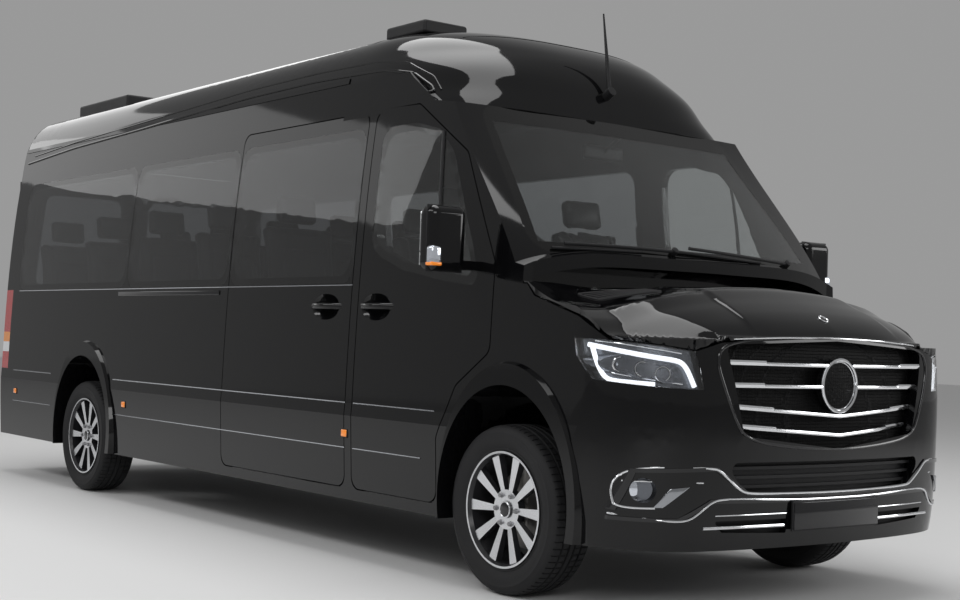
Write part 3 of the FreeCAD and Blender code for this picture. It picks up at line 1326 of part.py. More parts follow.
def seat_leg(x, seat_y):
    outer = abs(seat_y) > mm.seat_width
    y = seat_y - math.copysign(mm.leg_shift if outer else -mm.leg_shift, seat_y)
    return box(x - mm.seat_leg, x - mm.seat_depth + mm.seat_leg, y - mm.seat_leg, y + mm.seat_leg,
               mm.floor_top, mm.floor_top + mm.seat_height - mm.seat_thickness)


cab_x = FRONT_AXLE + mm.cab_seat_x + mm.seat_depth
cab = []
for name, side in SIDES:
    cab += seat(cab_x, side * mm.cab_seat_y)
node("cab_seats", Part.makeCompound(cab))
places = []
for row in range(int(mm.row_count)):
    x = FRONT_AXLE + mm.row_front - row * mm.row_pitch
    for y in (-mm.seat_pair_outer, mm.seat_pair_inner, mm.seat_pair_outer):
        places.append((x, y))
rows = []
for x, y in places:
    rows += seat(x, y)
node("passenger_seats", Part.makeCompound(rows))
legs = [seat_leg(cab_x, side * mm.cab_seat_y) for name, side in SIDES]
legs += [seat_leg(x, y) for x, y in places]
node("seat_frames", Part.makeCompound(legs))

# Check and write every piece
doc.recompute()
for piece in NODES:
    if "Invalid" in piece.State or "Error" in piece.State or piece.Shape.isNull() or not piece.Shape.isValid():
        raise RuntimeError(f"{piece.Label} is not sound: {piece.State}")
    piece.Shape.exportStep(f"parts/{piece.Label}.step")
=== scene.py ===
"""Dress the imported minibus: paint, glass, trim, lamps, wheels, cab and seats."""

import json
import logging
import math
from dataclasses import dataclass
from enum import Enum
from functools import lru_cache
from typing import Callable

import bpy
from mathutils import Matrix, Vector
from mathutils.bvhtree import BVHTree

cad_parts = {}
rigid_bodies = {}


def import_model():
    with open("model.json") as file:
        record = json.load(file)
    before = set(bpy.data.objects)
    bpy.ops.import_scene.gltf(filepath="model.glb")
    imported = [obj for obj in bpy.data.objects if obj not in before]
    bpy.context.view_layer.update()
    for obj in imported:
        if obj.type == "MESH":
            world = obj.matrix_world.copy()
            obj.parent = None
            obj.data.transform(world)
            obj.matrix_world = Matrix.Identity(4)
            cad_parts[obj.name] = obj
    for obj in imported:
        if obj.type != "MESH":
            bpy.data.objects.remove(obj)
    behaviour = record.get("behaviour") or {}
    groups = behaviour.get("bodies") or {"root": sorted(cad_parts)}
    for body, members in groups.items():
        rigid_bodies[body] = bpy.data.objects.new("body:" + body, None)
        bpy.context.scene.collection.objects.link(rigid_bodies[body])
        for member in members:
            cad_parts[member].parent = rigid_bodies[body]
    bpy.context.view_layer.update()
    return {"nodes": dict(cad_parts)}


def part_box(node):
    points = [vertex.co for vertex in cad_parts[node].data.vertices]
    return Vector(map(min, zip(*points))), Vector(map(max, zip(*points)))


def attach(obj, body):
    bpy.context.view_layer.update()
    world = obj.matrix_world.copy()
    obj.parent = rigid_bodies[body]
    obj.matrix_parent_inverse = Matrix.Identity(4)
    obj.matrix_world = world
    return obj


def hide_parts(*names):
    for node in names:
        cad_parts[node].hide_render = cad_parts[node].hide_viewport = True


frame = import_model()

LOG = logging.getLogger("minibus")
Piece = bpy.types.Object
Place = tuple[float, float, float]
Colour = tuple[float, float, float]
Table = tuple[tuple[float, float], ...]
UP = Vector((0.0, 0.0, 1.0))
AHEAD = Vector((1.0, 0.0, 0.0))
LEFTWARD = Vector((0.0, 1.0, 0.0))
PROUD = 0.001


class Side(Enum):
    """The vehicle's two sides, by the sign of Y."""

    RIGHT = -1
    LEFT = 1

    @property
    def word(self) -> str:
        """Give the side's name as node names end with it."""
        return self.name.lower()

    def out(self) -> Vector:
        """Give the direction that leads out of the vehicle on this side."""
        return Vector((0.0, float(self.value), 0.0))

    def place(self, point: Place) -> Vector:
        """Mirror a place of the left side to this side."""
        return Vector((point[0], point[1] * self.value, point[2]))


class Axle(Enum):
    """The two axles, by the node names' word."""

    FRONT = "front"
    REAR = "rear"


@dataclass(frozen=True)
class Finish:
    """One surface finish with its own procedural detail."""

    name: str
    slot: str
    colour: Colour
    roughness: float = 0.4
    metallic: float = 0.0
    specular: float = 0.5
    coat: float = 0.0
    sheen: float = 0.0
    transmission: float = 0.0
    grain: float = 0.0
    grain_scale: float = 200.0
    mottle: float = 0.0
    mottle_scale: float = 6.0
    glow: float = 0.0
    ior: float = 1.45

    def material(self) -> bpy.types.Material:
        """Build the material once and reuse it.

        Returns:
            The material with this finish.
        """
        known = bpy.data.materials.get(self.name)
        if known:
            return known
        made = bpy.data.materials.new(self.name)
        made.use_nodes = True
        tree = made.node_tree
        shader = tree.nodes["Principled BSDF"]
        shader.inputs["Base Color"].default_value = (*self.colour, 1.0)
        shader.inputs["Roughness"].default_value = self.roughness
        shader.inputs["Metallic"].default_value = self.metallic
        shader.inputs["Specular IOR Level"].default_value = self.specular
        shader.inputs["Coat Weight"].default_value = self.coat
        shader.inputs["Coat Roughness"].default_value = 0.02
        shader.inputs["Sheen Weight"].default_value = self.sheen
        shader.inputs["Transmission Weight"].default_value = self.transmission
        shader.inputs["IOR"].default_value = self.ior
        if self.glow:
            shader.inputs["Emission Color"].default_value = (*self.colour, 1.0)
            shader.inputs["Emission Strength"].default_value = self.glow
        place = tree.nodes.new("ShaderNodeTexCoord")
        if self.mottle:
            self._add_mottle(tree, place, shader)
        if self.grain:
            self._add_grain(tree, place, shader)
        self._add_pattern(tree, place, shader)
        return made

    def _add_mottle(self, tree: bpy.types.NodeTree, place: bpy.types.Node, shader: bpy.types.Node) -> None:
        """Vary the roughness slowly over the surface.

        Args:
            tree: The material's nodes.
            place: The node that gives Object coordinates.
            shader: The surface shader.
        """
        noise = tree.nodes.new("ShaderNodeTexNoise")
        noise.inputs["Scale"].default_value = self.mottle_scale
        noise.inputs["Detail"].default_value = 4.0
        spread = tree.nodes.new("ShaderNodeMapRange")
        spread.inputs["To Min"].default_value = max(self.roughness - self.mottle, 0.0)
        spread.inputs["To Max"].default_value = self.roughness + self.mottle
        tree.links.new(place.outputs["Object"], noise.inputs["Vector"])
        tree.links.new(noise.outputs["Fac"], spread.inputs["Value"])
        tree.links.new(spread.outputs["Result"], shader.inputs["Roughness"])

    def _add_grain(self, tree: bpy.types.NodeTree, place: bpy.types.Node, shader: bpy.types.Node) -> None:
        """Give the surface a fine moulded grain.

        Args:
            tree: The material's nodes.
            place: The node that gives Object coordinates.
            shader: The surface shader.
        """
        grain = tree.nodes.new("ShaderNodeTexNoise")
        grain.inputs["Scale"].default_value = self.grain_scale
        grain.inputs["Detail"].default_value = 3.0
        bump = tree.nodes.new("ShaderNodeBump")
        bump.inputs["Strength"].default_value = self.grain
        bump.inputs["Distance"].default_value = 0.001
        tree.links.new(place.outputs["Object"], grain.inputs["Vector"])
        tree.links.new(grain.outputs["Fac"], bump.inputs["Height"])
        tree.links.new(bump.outputs["Normal"], shader.inputs["Normal"])

    def _add_pattern(self, tree: bpy.types.NodeTree, place: bpy.types.Node, shader: bpy.types.Node) -> None:
        """Leave the plain finish without a pattern."""


def worked(tree: bpy.types.NodeTree, kind: str, first: object, second: object = 0.0) -> bpy.types.NodeSocket:
    """Add one step of arithmetic to a material.

    Args:
        tree: The material's nodes.
        kind: The Math node's operation.
        first: A number or a socket.
        second: A number or a socket.

    Returns:
        The socket with the result.
    """
    step = tree.nodes.new("ShaderNodeMath")
    step.operation = kind
    for index, value in enumerate((first, second)):
        if isinstance(value, bpy.types.NodeSocket):
            tree.links.new(value, step.inputs[index])
        else:
            step.inputs[index].default_value = float(value)
    return step.outputs[0]


def split_axes(tree: bpy.types.NodeTree, source: bpy.types.NodeSocket) -> list[bpy.types.NodeSocket]:
    """Split a place or a direction into its three numbers.

    Args:
        tree: The material's nodes.
        source: The socket with the place or direction.

    Returns:
        The sockets along X, Y and Z.
    """
    parts = tree.nodes.new("ShaderNodeSeparateXYZ")
    tree.links.new(source, parts.inputs[0])
    return list(parts.outputs)


@lru_cache(maxsize=None)
def slopes_of(table: Table) -> tuple[float, ...]:
    """Work out how steeply a table's soft curve passes through its rows.

    Args:
        table: Pairs of a place and its value.

    Returns:
        The slope at each row.
    """
    steps = [(high - low) / (end - start) for (start, low), (end, high) in zip(table, table[1:])]
    inner = [0.0 if one * two <= 0 else 2 * one * two / (one + two) for one, two in zip(steps, steps[1:])]
    return (steps[0], *inner, steps[-1])


def between(value: float, table: Table) -> float:
    """Read a table of rising places with a soft curve through its rows.

    Args:
        value: The place.
        table: Pairs of a place and its value.

    Returns:
        The value there.
    """
    if value <= table[0][0]:
        return table[0][1]
    if value >= table[-1][0]:
        return table[-1][1]
    index = max(row for row in range(len(table) - 1) if table[row][0] <= value)
    slopes = slopes_of(table)
    (start, low), (end, high) = table[index], table[index + 1]
    span = end - start
    share = (value - start) / span
    return ((1 + 2 * share) * (1 - share) ** 2 * low + share * (1 - share) ** 2 * span * slopes[index]
            + share ** 2 * (3 - 2 * share) * high - share ** 2 * (1 - share) * span * slopes[index + 1])


def eased(value: float) -> float:
    """Rise softly from 0 to 1."""
    held = min(max(value, 0.0), 1.0)
    return held * held * (3.0 - 2.0 * held)


def mixed(tree: bpy.types.NodeTree, share: object, plain: Colour, other: Colour) -> bpy.types.NodeSocket:
    """Mix two colours by a share.

    Args:
        tree: The material's nodes.
        share: The socket that is 0 for the plain colour and 1 for the other.
        plain: The first colour.
        other: The second colour.

    Returns:
        The socket with the mixed colour.
    """
    mix = tree.nodes.new("ShaderNodeMix")
    mix.data_type = "RGBA"
    tree.links.new(share, mix.inputs[0])
    mix.inputs[6].default_value = (*plain, 1.0)
    mix.inputs[7].default_value = (*other, 1.0)
    return mix.outputs[2]


@dataclass(frozen=True)
class MachinedFinish(Finish):
    """Bright turned faces over painted pockets, told apart by where a surface faces."""

    pocket: Colour = (0.02, 0.02, 0.022)
    facing: float = 0.72
    face_half: float = 0.925

    def _add_pattern(self, tree: bpy.types.NodeTree, place: bpy.types.Node, shader: bpy.types.Node) -> None:
        """Paint what faces away from the wheel's front.

        Args:
            tree: The material's nodes.
            place: The node that gives Object coordinates.
            shader: The surface shader.
        """
        outward = worked(tree, "ABSOLUTE", split_axes(tree, place.outputs["Normal"])[1])
        near = worked(tree, "ABSOLUTE", split_axes(tree, place.outputs["Object"])[1])
        turned = worked(tree, "GREATER_THAN", outward, self.facing)
        front = worked(tree, "GREATER_THAN", near, self.face_half)
        share = worked(tree, "MULTIPLY", turned, front)
        tree.links.new(mixed(tree, share, self.pocket, self.colour), shader.inputs["Base Color"])
        tree.links.new(worked(tree, "MULTIPLY", share, self.metallic), shader.inputs["Metallic"])


@dataclass(frozen=True)
class BandedFinish(Finish):
    """A lamp cover with level bands of other colours and fine upright flutes."""

    bands: tuple[tuple[float, float, Colour], ...] = ()
    flute_scale: float = 90.0

    def _add_pattern(self, tree: bpy.types.NodeTree, place: bpy.types.Node, shader: bpy.types.Node) -> None:
        """Colour the bands by height.

        Args:
            tree: The material's nodes.
            place: The node that gives Object coordinates.
            shader: The surface shader.
        """
        height = split_axes(tree, place.outputs["Object"])[2]
        colour = None
        for low, high, tint in self.bands:
            share = worked(tree, "MULTIPLY", worked(tree, "GREATER_THAN", height, low),
                           worked(tree, "LESS_THAN", height, high))
            result = mixed(tree, share, self.colour, tint)
            if colour is not None:
                tree.links.new(colour, result.node.inputs[6])
            colour = result
        tree.links.new(colour, shader.inputs["Base Color"])
        flutes = tree.nodes.new("ShaderNodeTexWave")
        flutes.bands_direction = "Z"
        flutes.inputs["Scale"].default_value = self.flute_scale
        bump = tree.nodes.new("ShaderNodeBump")
        bump.inputs["Strength"].default_value = 0.35
        bump.inputs["Distance"].default_value = 0.001
        tree.links.new(place.outputs["Object"], flutes.inputs["Vector"])
        tree.links.new(flutes.outputs["Fac"], bump.inputs["Height"])
        tree.links.new(bump.outputs["Normal"], shader.inputs["Normal"])


@dataclass(frozen=True)
class BorderedGlass(Finish):
    """Glass with the black printed border that hides its glue line."""

    low: float = 1.425
    high: float = 2.108
    low_half: float = 0.895
    high_half: float = 0.782
    side_border: float = 0.045
    low_border: float = 0.045
    high_border: float = 0.075

    def _add_pattern(self, tree: bpy.types.NodeTree, place: bpy.types.Node, shader: bpy.types.Node) -> None:
        """Print the border by distance from the glass's edges.

        Args:
            tree: The material's nodes.
            place: The node that gives Object coordinates.
            shader: The surface shader.
        """
        along, across, height = split_axes(tree, place.outputs["Object"])
        slope = (self.high_half - self.low_half) / (self.high - self.low)
        rise = worked(tree, "SUBTRACT", height, self.low)
        half = worked(tree, "ADD", worked(tree, "MULTIPLY", rise, slope), self.low_half - self.side_border)
        aside = worked(tree, "GREATER_THAN", worked(tree, "ABSOLUTE", across), half)
        above = worked(tree, "GREATER_THAN", height, self.high - self.high_border)
        below = worked(tree, "LESS_THAN", height, self.low + self.low_border)
        share = worked(tree, "MAXIMUM", worked(tree, "MAXIMUM", aside, above), below)
        tree.links.new(mixed(tree, share, self.colour, (0.004, 0.004, 0.004)), shader.inputs["Base Color"])
        clear = worked(tree, "SUBTRACT", 1.0, share)
        tree.links.new(clear, shader.inputs["Transmission Weight"])


@dataclass(frozen=True)
class MeshFinish(Finish):
    """Black moulding with a fine honeycomb pressed into it and painted shade in its cells."""

    cell_scale: float = 75.0
    depth: float = 0.004

    def _add_pattern(self, tree: bpy.types.NodeTree, place: bpy.types.Node, shader: bpy.types.Node) -> None:
        """Press the cells into the surface and darken their floors as painted shade.

        Args:
            tree: The material's nodes.
            place: The node that gives Object coordinates.
            shader: The surface shader.
        """
        cells = tree.nodes.new("ShaderNodeTexVoronoi")
        cells.feature = "DISTANCE_TO_EDGE"
        cells.inputs["Scale"].default_value = self.cell_scale
        cells.inputs["Randomness"].default_value = 0.15
        wall = tree.nodes.new("ShaderNodeMapRange")
        wall.inputs["From Max"].default_value = 0.12
        wall.inputs["To Min"].default_value = 1.0
        wall.inputs["To Max"].default_value = 0.0
        bump = tree.nodes.new("ShaderNodeBump")
        bump.inputs["Strength"].default_value = 0.9
        bump.inputs["Distance"].default_value = self.depth
        tree.links.new(place.outputs["Object"], cells.inputs["Vector"])
        tree.links.new(cells.outputs["Distance"], wall.inputs["Value"])
        tree.links.new(wall.outputs["Result"], bump.inputs["Height"])
        tree.links.new(bump.outputs["Normal"], shader.inputs["Normal"])
        # Painted shade: the cell floors are coloured a fifth as bright as the walls, as if shade lay in the
        # hollows.
        floor = (self.colour[0] * 0.2, self.colour[1] * 0.2, self.colour[2] * 0.2)
        tree.links.new(mixed(tree, wall.outputs["Result"], floor, self.colour), shader.inputs["Base Color"])


BLACK_PAINT = Finish("gloss_black_paint", "body_paint", (0.003, 0.003, 0.0034), 0.05, specular=0.42, mottle=0.015)
TINTED_GLASS = Finish("tinted_glass", "glass", (0.30, 0.31, 0.32), 0.01, transmission=1.0, mottle=0.005)
SCREEN_GLASS = Finish("door_glass", "glass", (0.62, 0.64, 0.64), 0.01, transmission=1.0, mottle=0.005)
WINDSCREEN = BorderedGlass("windscreen_glass", "glass", (0.74, 0.77, 0.77), 0.01, transmission=1.0)
CLEAR_COVER = Finish("clear_lamp_cover", "lamp_lens", (0.97, 0.98, 0.99), 0.01, transmission=1.0, mottle=0.005)
LIGHT_GUIDE = Finish("lit_guide", "lamp_lens", (0.92, 0.95, 1.0), 0.3, glow=1.0, mottle=0.02)
LAMP_GLASS = Finish("projector_glass", "lamp_lens", (0.75, 0.79, 0.86), 0.04, specular=0.9, coat=1.0, metallic=0.8,
                    mottle=0.02)
TAIL_COVER = BandedFinish("tail_lamp_cover", "tail_lens", (0.42, 0.006, 0.008), 0.1, coat=1.0,
                          bands=((0.86, 0.93, (0.75, 0.76, 0.78)), (0.93, 1.0, (0.8, 0.26, 0.02))))
ORANGE_COVER = Finish("side_marker_cover", "tail_lens", (0.85, 0.24, 0.02), 0.15, coat=1.0, glow=0.25, grain=0.2,
                      grain_scale=500.0)
RED_COVER = Finish("high_brake_lamp", "tail_lens", (0.42, 0.006, 0.008), 0.12, coat=1.0, mottle=0.02)
CHROME = Finish("bright_chrome", "chrome", (0.82, 0.83, 0.85), 0.1, metallic=1.0, mottle=0.03)
DARK_CHROME = Finish("dark_chrome", "chrome", (0.34, 0.35, 0.37), 0.16, metallic=1.0, mottle=0.04)
MIRROR = Finish("mirror_silver", "glass", (0.85, 0.87, 0.88), 0.02, metallic=1.0, mottle=0.005)
ALLOY = MachinedFinish("machined_alloy", "alloy", (0.72, 0.73, 0.75), 0.24, metallic=1.0, grain=0.05,
                       grain_scale=900.0)
BOLT_STEEL = Finish("bolt_steel", "alloy", (0.35, 0.35, 0.36), 0.35, metallic=1.0, grain=0.1, grain_scale=600.0)
TYRE_RUBBER = Finish("tyre_rubber", "tyre", (0.014, 0.014, 0.015), 0.68, specular=0.35, grain=0.25,
                     grain_scale=420.0, mottle=0.08)
MATT_PLASTIC = Finish("matt_black_plastic", "black_plastic", (0.010, 0.010, 0.011), 0.5, specular=0.35, grain=0.3,
                      grain_scale=700.0, mottle=0.05)
GLOSS_PLASTIC = Finish("gloss_black_plastic", "black_plastic", (0.005, 0.005, 0.006), 0.14, specular=0.4, coat=0.5,
                       mottle=0.02)
LAMP_HOUSING = Finish("lamp_housing", "lamp_unit", (0.16, 0.17, 0.19), 0.25, metallic=0.85, grain=0.3,
                      grain_scale=160.0)
GRILLE_MESH = MeshFinish("grille_mesh", "black_plastic", (0.004, 0.004, 0.0045), 0.6, specular=0.15)
CHASSIS_PAINT = Finish("underbody_paint", "chassis_metal", (0.02, 0.02, 0.022), 0.6, grain=0.3, grain_scale=90.0,
                       mottle=0.1)
BRAKE_IRON = Finish("brake_iron", "chassis_metal", (0.28, 0.27, 0.26), 0.38, metallic=0.9, grain=0.2,
                    grain_scale=300.0, mottle=0.08)
SEAT_LEATHER = Finish("seat_leather", "seat_cloth", (0.018, 0.018, 0.019), 0.42, sheen=0.1, grain=0.4,
                      grain_scale=260.0, mottle=0.06)
FLOOR_COVER = Finish("floor_cover", "floor_grey", (0.05, 0.05, 0.052), 0.7, grain=0.4, grain_scale=160.0,
                     mottle=0.08)
SCREEN_FACE = Finish("display_face", "black_plastic", (0.004, 0.005, 0.008), 0.05, coat=1.0, mottle=0.01)

NODE_FINISHES: dict[str, Finish] = {
    "tyre_": TYRE_RUBBER,
    "rim_": ALLOY,
    "knuckle_": BRAKE_IRON,
    "rear_axle": CHASSIS_PAINT,
    "front_subframe": CHASSIS_PAINT,
    "engine_block": CHASSIS_PAINT,
    "frame_rails": CHASSIS_PAINT,
    "exhaust": BRAKE_IRON,
    "fuel_tank": MATT_PLASTIC,
    "seat_frames": CHASSIS_PAINT,
    "windscreen": WINDSCREEN,
    "front_door_glass_": SCREEN_GLASS,
    "side_glass_": TINTED_GLASS,
    "sliding_door_glass": TINTED_GLASS,
    "rear_door_glass_": TINTED_GLASS,
    "headlamp_lens_": CLEAR_COVER,
    "headlamp_unit_": LAMP_HOUSING,
    "fog_lamps": LAMP_HOUSING,
    "tail_lamp_": TAIL_COVER,
    "grille_bars": CHROME,
    "bumper_trim": GLOSS_PLASTIC,
    "grille_panel": GRILLE_MESH,
    "intake_grille": MATT_PLASTIC,
    "roof_unit": MATT_PLASTIC,
    "dashboard": MATT_PLASTIC,
    "steering_wheel": MATT_PLASTIC,
    "antenna": MATT_PLASTIC,
    "cab_seats": SEAT_LEATHER,
    "passenger_seats": SEAT_LEATHER,
    "cabin_floor": FLOOR_COVER,
}


def finish_of(node: str) -> Finish:
    """Choose a CAD node's finish by the longest name that it starts with, else the body paint."""
    fits = [start for start in NODE_FINISHES if node.startswith(start)]
    return NODE_FINISHES[max(fits, key=len)] if fits else BLACK_PAINT


@dataclass
class Dresser:
    """Give the CAD nodes their finishes and clean shading."""

    weld: float = 0.00002
    crease: float = math.radians(28.0)
    weight: int = 80

    def dress(self, name: str, piece: Piece) -> None:
        """Finish one CAD node and smooth it between its creases.

        Args:
            name: The node's name.
            piece: The node's object.
        """
        piece.data.materials.clear()
        piece.data.materials.append(finish_of(name).material())
        piece.modifiers.new("weld", "WELD").merge_threshold = self.weld
        piece.modifiers.new("crease", "EDGE_SPLIT").split_angle = self.crease
        even = piece.modifiers.new("even", "WEIGHTED_NORMAL")
        even.keep_sharp = True
        even.weight = self.weight

    def build(self) -> None:
        """Dress every node."""
        for name, piece in sorted(frame["nodes"].items()):
            self.dress(name, piece)
            LOG.info("dressed %s", name)


class Surface:
    """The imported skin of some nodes, which new pieces are laid on."""

    def __init__(self, *starts: str) -> None:
        """Gather the objects whose names start with any of the words.

        Args:
            starts: The starts of the names of nodes or finished pieces.
        """
        points: list[Vector] = []
        faces: list[tuple[int, ...]] = []
        for piece in bpy.data.objects:
            if piece.name.startswith(starts) and piece.type == "MESH":
                offset = len(points)
                points += [vertex.co.copy() for vertex in piece.data.vertices]
                faces += [tuple(offset + index for index in face.vertices) for face in piece.data.polygons]
        self.starts = starts
        self.tree = BVHTree.FromPolygons(points, faces)

    def _struck(self, start: Vector, way: Vector) -> tuple[Vector, Vector]:
        """Find the place and normal that a straight line meets first.

        Args:
            start: Where the line begins.
            way: Where it leads.

        Returns:
            The place on the skin and its outward normal.
        """
        place, normal, _, _ = self.tree.ray_cast(start, way)
        if place is None:
            near = [self.tree.find_nearest(start + way * 0.02 * step, 0.12) for step in range(400)]
            near = [found for found in near if found[0] is not None]
            if not near:
                raise ValueError(f"nothing of {self.starts} lies on the line from {tuple(start)}")
            place, normal, _, _ = min(near, key=lambda found: found[3])
        return place, normal if normal.dot(way) < 0 else -normal

    def ahead(self, y: float, z: float, proud: float = 0.0) -> Vector:
        """Give the foremost place at y and z, moved out by proud."""
        place, normal = self._struck(Vector((5.0, y, z)), -AHEAD)
        return place + normal * proud

    def beside(self, side: Side, x: float, z: float, proud: float = 0.0) -> Vector:
        """Give the outermost place of a side at x and z, moved out by proud."""
        place, normal = self._struck(Vector((x, 2.0 * side.value, z)), -side.out())
        return place + normal * proud

    def above(self, x: float, y: float, proud: float = 0.0) -> Vector:
        """Give the highest place at x and y, moved out by proud."""
        place, normal = self._struck(Vector((x, y, 4.0)), -UP)
        return place + normal * proud

    def behind(self, y: float, z: float, proud: float = 0.0) -> Vector:
        """Give the rearmost place at y and z, moved out by proud."""
        place, normal = self._struck(Vector((-5.0, y, z)), AHEAD)
        return place + normal * proud

    def sunk(self, point: Vector, depth: float = 0.0, out: Vector = AHEAD) -> Vector:
        """Give the place at a depth below the nearest skin, which faces roughly towards out."""
        place, normal, _, _ = self.tree.find_nearest(point)
        return place - (normal if normal.dot(out) > 0 else -normal) * depth


class Bench:
    """Work on one piece at a time, always from an empty selection."""

    @staticmethod
    def only(piece: Piece) -> Piece:
        """Select one piece alone.

        Args:
            piece: The piece.

        Returns:
            The piece.
        """
        bpy.ops.object.select_all(action="DESELECT")
        piece.select_set(True)
        bpy.context.view_layer.objects.active = piece
        return piece

    @staticmethod
    def _taken(name: str, size: Place = (1.0, 1.0, 1.0)) -> Piece:
        """Name the primitive just added and put its size and place in its mesh.

        Args:
            name: The piece's name.
            size: How much longer each of its own sides becomes.

        Returns:
            The piece.
        """
        piece = bpy.context.object
        piece.name = name
        piece.data.name = name
        piece.scale = size
        bpy.ops.object.transform_apply(location=True, rotation=True, scale=True)
        return piece

    @staticmethod
    def _turn(axis: Vector) -> tuple[float, float, float]:
        """Give the angles that turn Z towards an axis."""
        return tuple(Vector(axis).to_track_quat("Z", "Y").to_euler())

    @staticmethod
    def edited(piece: Piece, work: Callable[[], None]) -> Piece:
        """Run edit-mode work on all of a piece.

        Args:
            piece: The piece.
            work: What is done to it.

        Returns:
            The piece.
        """
        Bench.only(piece)
        bpy.ops.object.mode_set(mode="EDIT")
        bpy.ops.mesh.select_all(action="SELECT")
        work()
        bpy.ops.object.mode_set(mode="OBJECT")
        return piece

    @staticmethod
    def rounded(piece: Piece, width: float, segments: int = 2, angle: float = 30.0) -> Piece:
        """Round a piece's edges with a bevel that is applied.

        Args:
            piece: The piece.
            width: How wide the round is.
            segments: How many faces it has.
            angle: The least angle in degrees of an edge that is rounded.

        Returns:
            The piece.
        """
        Bench.only(piece)
        bevel = piece.modifiers.new("round", "BEVEL")
        bevel.width = width
        bevel.segments = segments
        bevel.limit_method = "ANGLE"
        bevel.angle_limit = math.radians(angle)
        bpy.ops.object.modifier_apply(modifier=bevel.name)
        return piece

    @staticmethod
    def block(name: str, middle: Vector, size: Place, round_off: float, segments: int = 2,
              axis: Vector = UP) -> Piece:
        """Add a block with rounded edges.

        Args:
            name: The piece's name.
            middle: Its middle.
            size: Its three sides before it is turned.
            round_off: The radius of its edges.
            segments: How many faces a rounded edge has.
            axis: Where its third side points.

        Returns:
            The piece.
        """
        bpy.ops.object.select_all(action="DESELECT")
        turn = (0.0, 0.0, 0.0) if axis is UP else Bench._turn(axis)
        bpy.ops.mesh.primitive_cube_add(size=1.0, location=middle, rotation=turn)
        return Bench.rounded(Bench._taken(name, size), round_off, segments)

    @staticmethod
    def drum(name: str, middle: Vector, axis: Vector, radius: float, depth: float, round_off: float,
             sides: int = 40) -> Piece:
        """Add a drum with rounded rims.

        Args:
            name: The piece's name.
            middle: Its middle.
            axis: Where its axis points.
            radius: Its radius.
            depth: Its length along the axis.
            round_off: The radius of its rims.
            sides: How many sides it has.

        Returns:
            The piece.
        """
        bpy.ops.object.select_all(action="DESELECT")
        bpy.ops.mesh.primitive_cylinder_add(vertices=sides, radius=radius, depth=depth, location=middle,
                                            rotation=Bench._turn(axis))
        return Bench.rounded(Bench._taken(name), round_off, 2, 50.0)

    @staticmethod
    def ring(name: str, middle: Vector, axis: Vector, radius: float, wire: float) -> Piece:
        """Add a round ring.

        Args:
            name: The piece's name.
            middle: Its middle.
            axis: Where its axis points.
            radius: Its radius to the middle of the wire.
            wire: The radius of the wire.

        Returns:
            The piece.
        """
        bpy.ops.object.select_all(action="DESELECT")
        bpy.ops.mesh.primitive_torus_add(location=middle, rotation=Bench._turn(axis), major_segments=48,
                                         minor_segments=10, major_radius=radius, minor_radius=wire)
        return Bench._taken(name)

    @staticmethod
    def dome(name: str, middle: Vector, axis: Vector, radius: float, height: float) -> Piece:
        """Add a flat-backed dome.

        Args:
            name: The piece's name.
            middle: The middle of its flat back.
            axis: Where its crown points.
            radius: The radius of its back.
            height: How high its crown stands.

        Returns:
            The piece.
        """
        bpy.ops.object.select_all(action="DESELECT")
        bpy.ops.mesh.primitive_uv_sphere_add(segments=40, ring_count=20, radius=radius, location=middle,
                                             rotation=Bench._turn(axis))
        piece = Bench._taken(name, (1.0, 1.0, height / radius))
        return Bench.edited(piece, lambda: bpy.ops.mesh.bisect(
            plane_co=middle, plane_no=axis, clear_inner=True, use_fill=True))

    @staticmethod
    def tube(name: str, points: list[Vector], radius: float, closed: bool = False, smooth: bool = True) -> Piece:
        """Run a round bar through some places and make it a mesh.

        Args:
            name: The piece's name.
            points: The places.
            radius: The bar's radius.
            closed: Whether it ends where it starts.
            smooth: Whether it bends softly at the places.

        Returns:
            The piece.
        """
        line = bpy.data.curves.new(name, "CURVE")
        line.dimensions = "3D"
        line.bevel_depth = radius
        line.bevel_resolution = 2
        line.resolution_u = 5
        line.use_fill_caps = True
        run = line.splines.new("NURBS" if smooth else "POLY")
        run.points.add(len(points) - 1)
        for spot, point in zip(run.points, points):
            spot.co = (*point, 1.0)
        if smooth:
            run.order_u = 3
            run.use_endpoint_u = not closed
        run.use_cyclic_u = closed
        piece = bpy.data.objects.new(name, line)
        bpy.context.scene.collection.objects.link(piece)
        Bench.only(piece)
        bpy.ops.object.convert(target="MESH")
        return bpy.context.object

    @staticmethod
    def patch(name: str, corners: list[Vector], node: str, proud: float, thickness: float,
              steps: int = 20) -> Piece:
        """Lay a thin sheet on a CAD node between four corners.

        Args:
            name: The piece's name.
            corners: Its corners in order, over the node.
            node: The node that it lies on.
            proud: How far it stands off the node.
            thickness: Its thickness.
            steps: How many faces it has along.

        Returns:
            The piece.
        """
        bpy.ops.object.select_all(action="DESELECT")
        bpy.ops.mesh.primitive_grid_add(x_subdivisions=steps, y_subdivisions=4, size=2.0)
        piece = Bench._taken(name)
        first, second, third, fourth = corners
        for vertex in piece.data.vertices:
            u = (vertex.co.x + 1) / 2
            v = (vertex.co.y + 1) / 2
            vertex.co = first.lerp(second, u).lerp(fourth.lerp(third, u), v)
        Bench.only(piece)
        wrap = piece.modifiers.new("wrap", "SHRINKWRAP")
        wrap.target = frame["nodes"][node]
        wrap.wrap_method = "NEAREST_SURFACEPOINT"
        wrap.wrap_mode = "ABOVE_SURFACE"
        wrap.offset = proud
        bpy.ops.object.modifier_apply(modifier=wrap.name)
        wall = piece.modifiers.new("wall", "SOLIDIFY")
        wall.thickness = thickness
        wall.offset = -1.0
        bpy.ops.object.modifier_apply(modifier=wall.name)
        return Bench.edited(piece, lambda: bpy.ops.mesh.normals_make_consistent(inside=False))

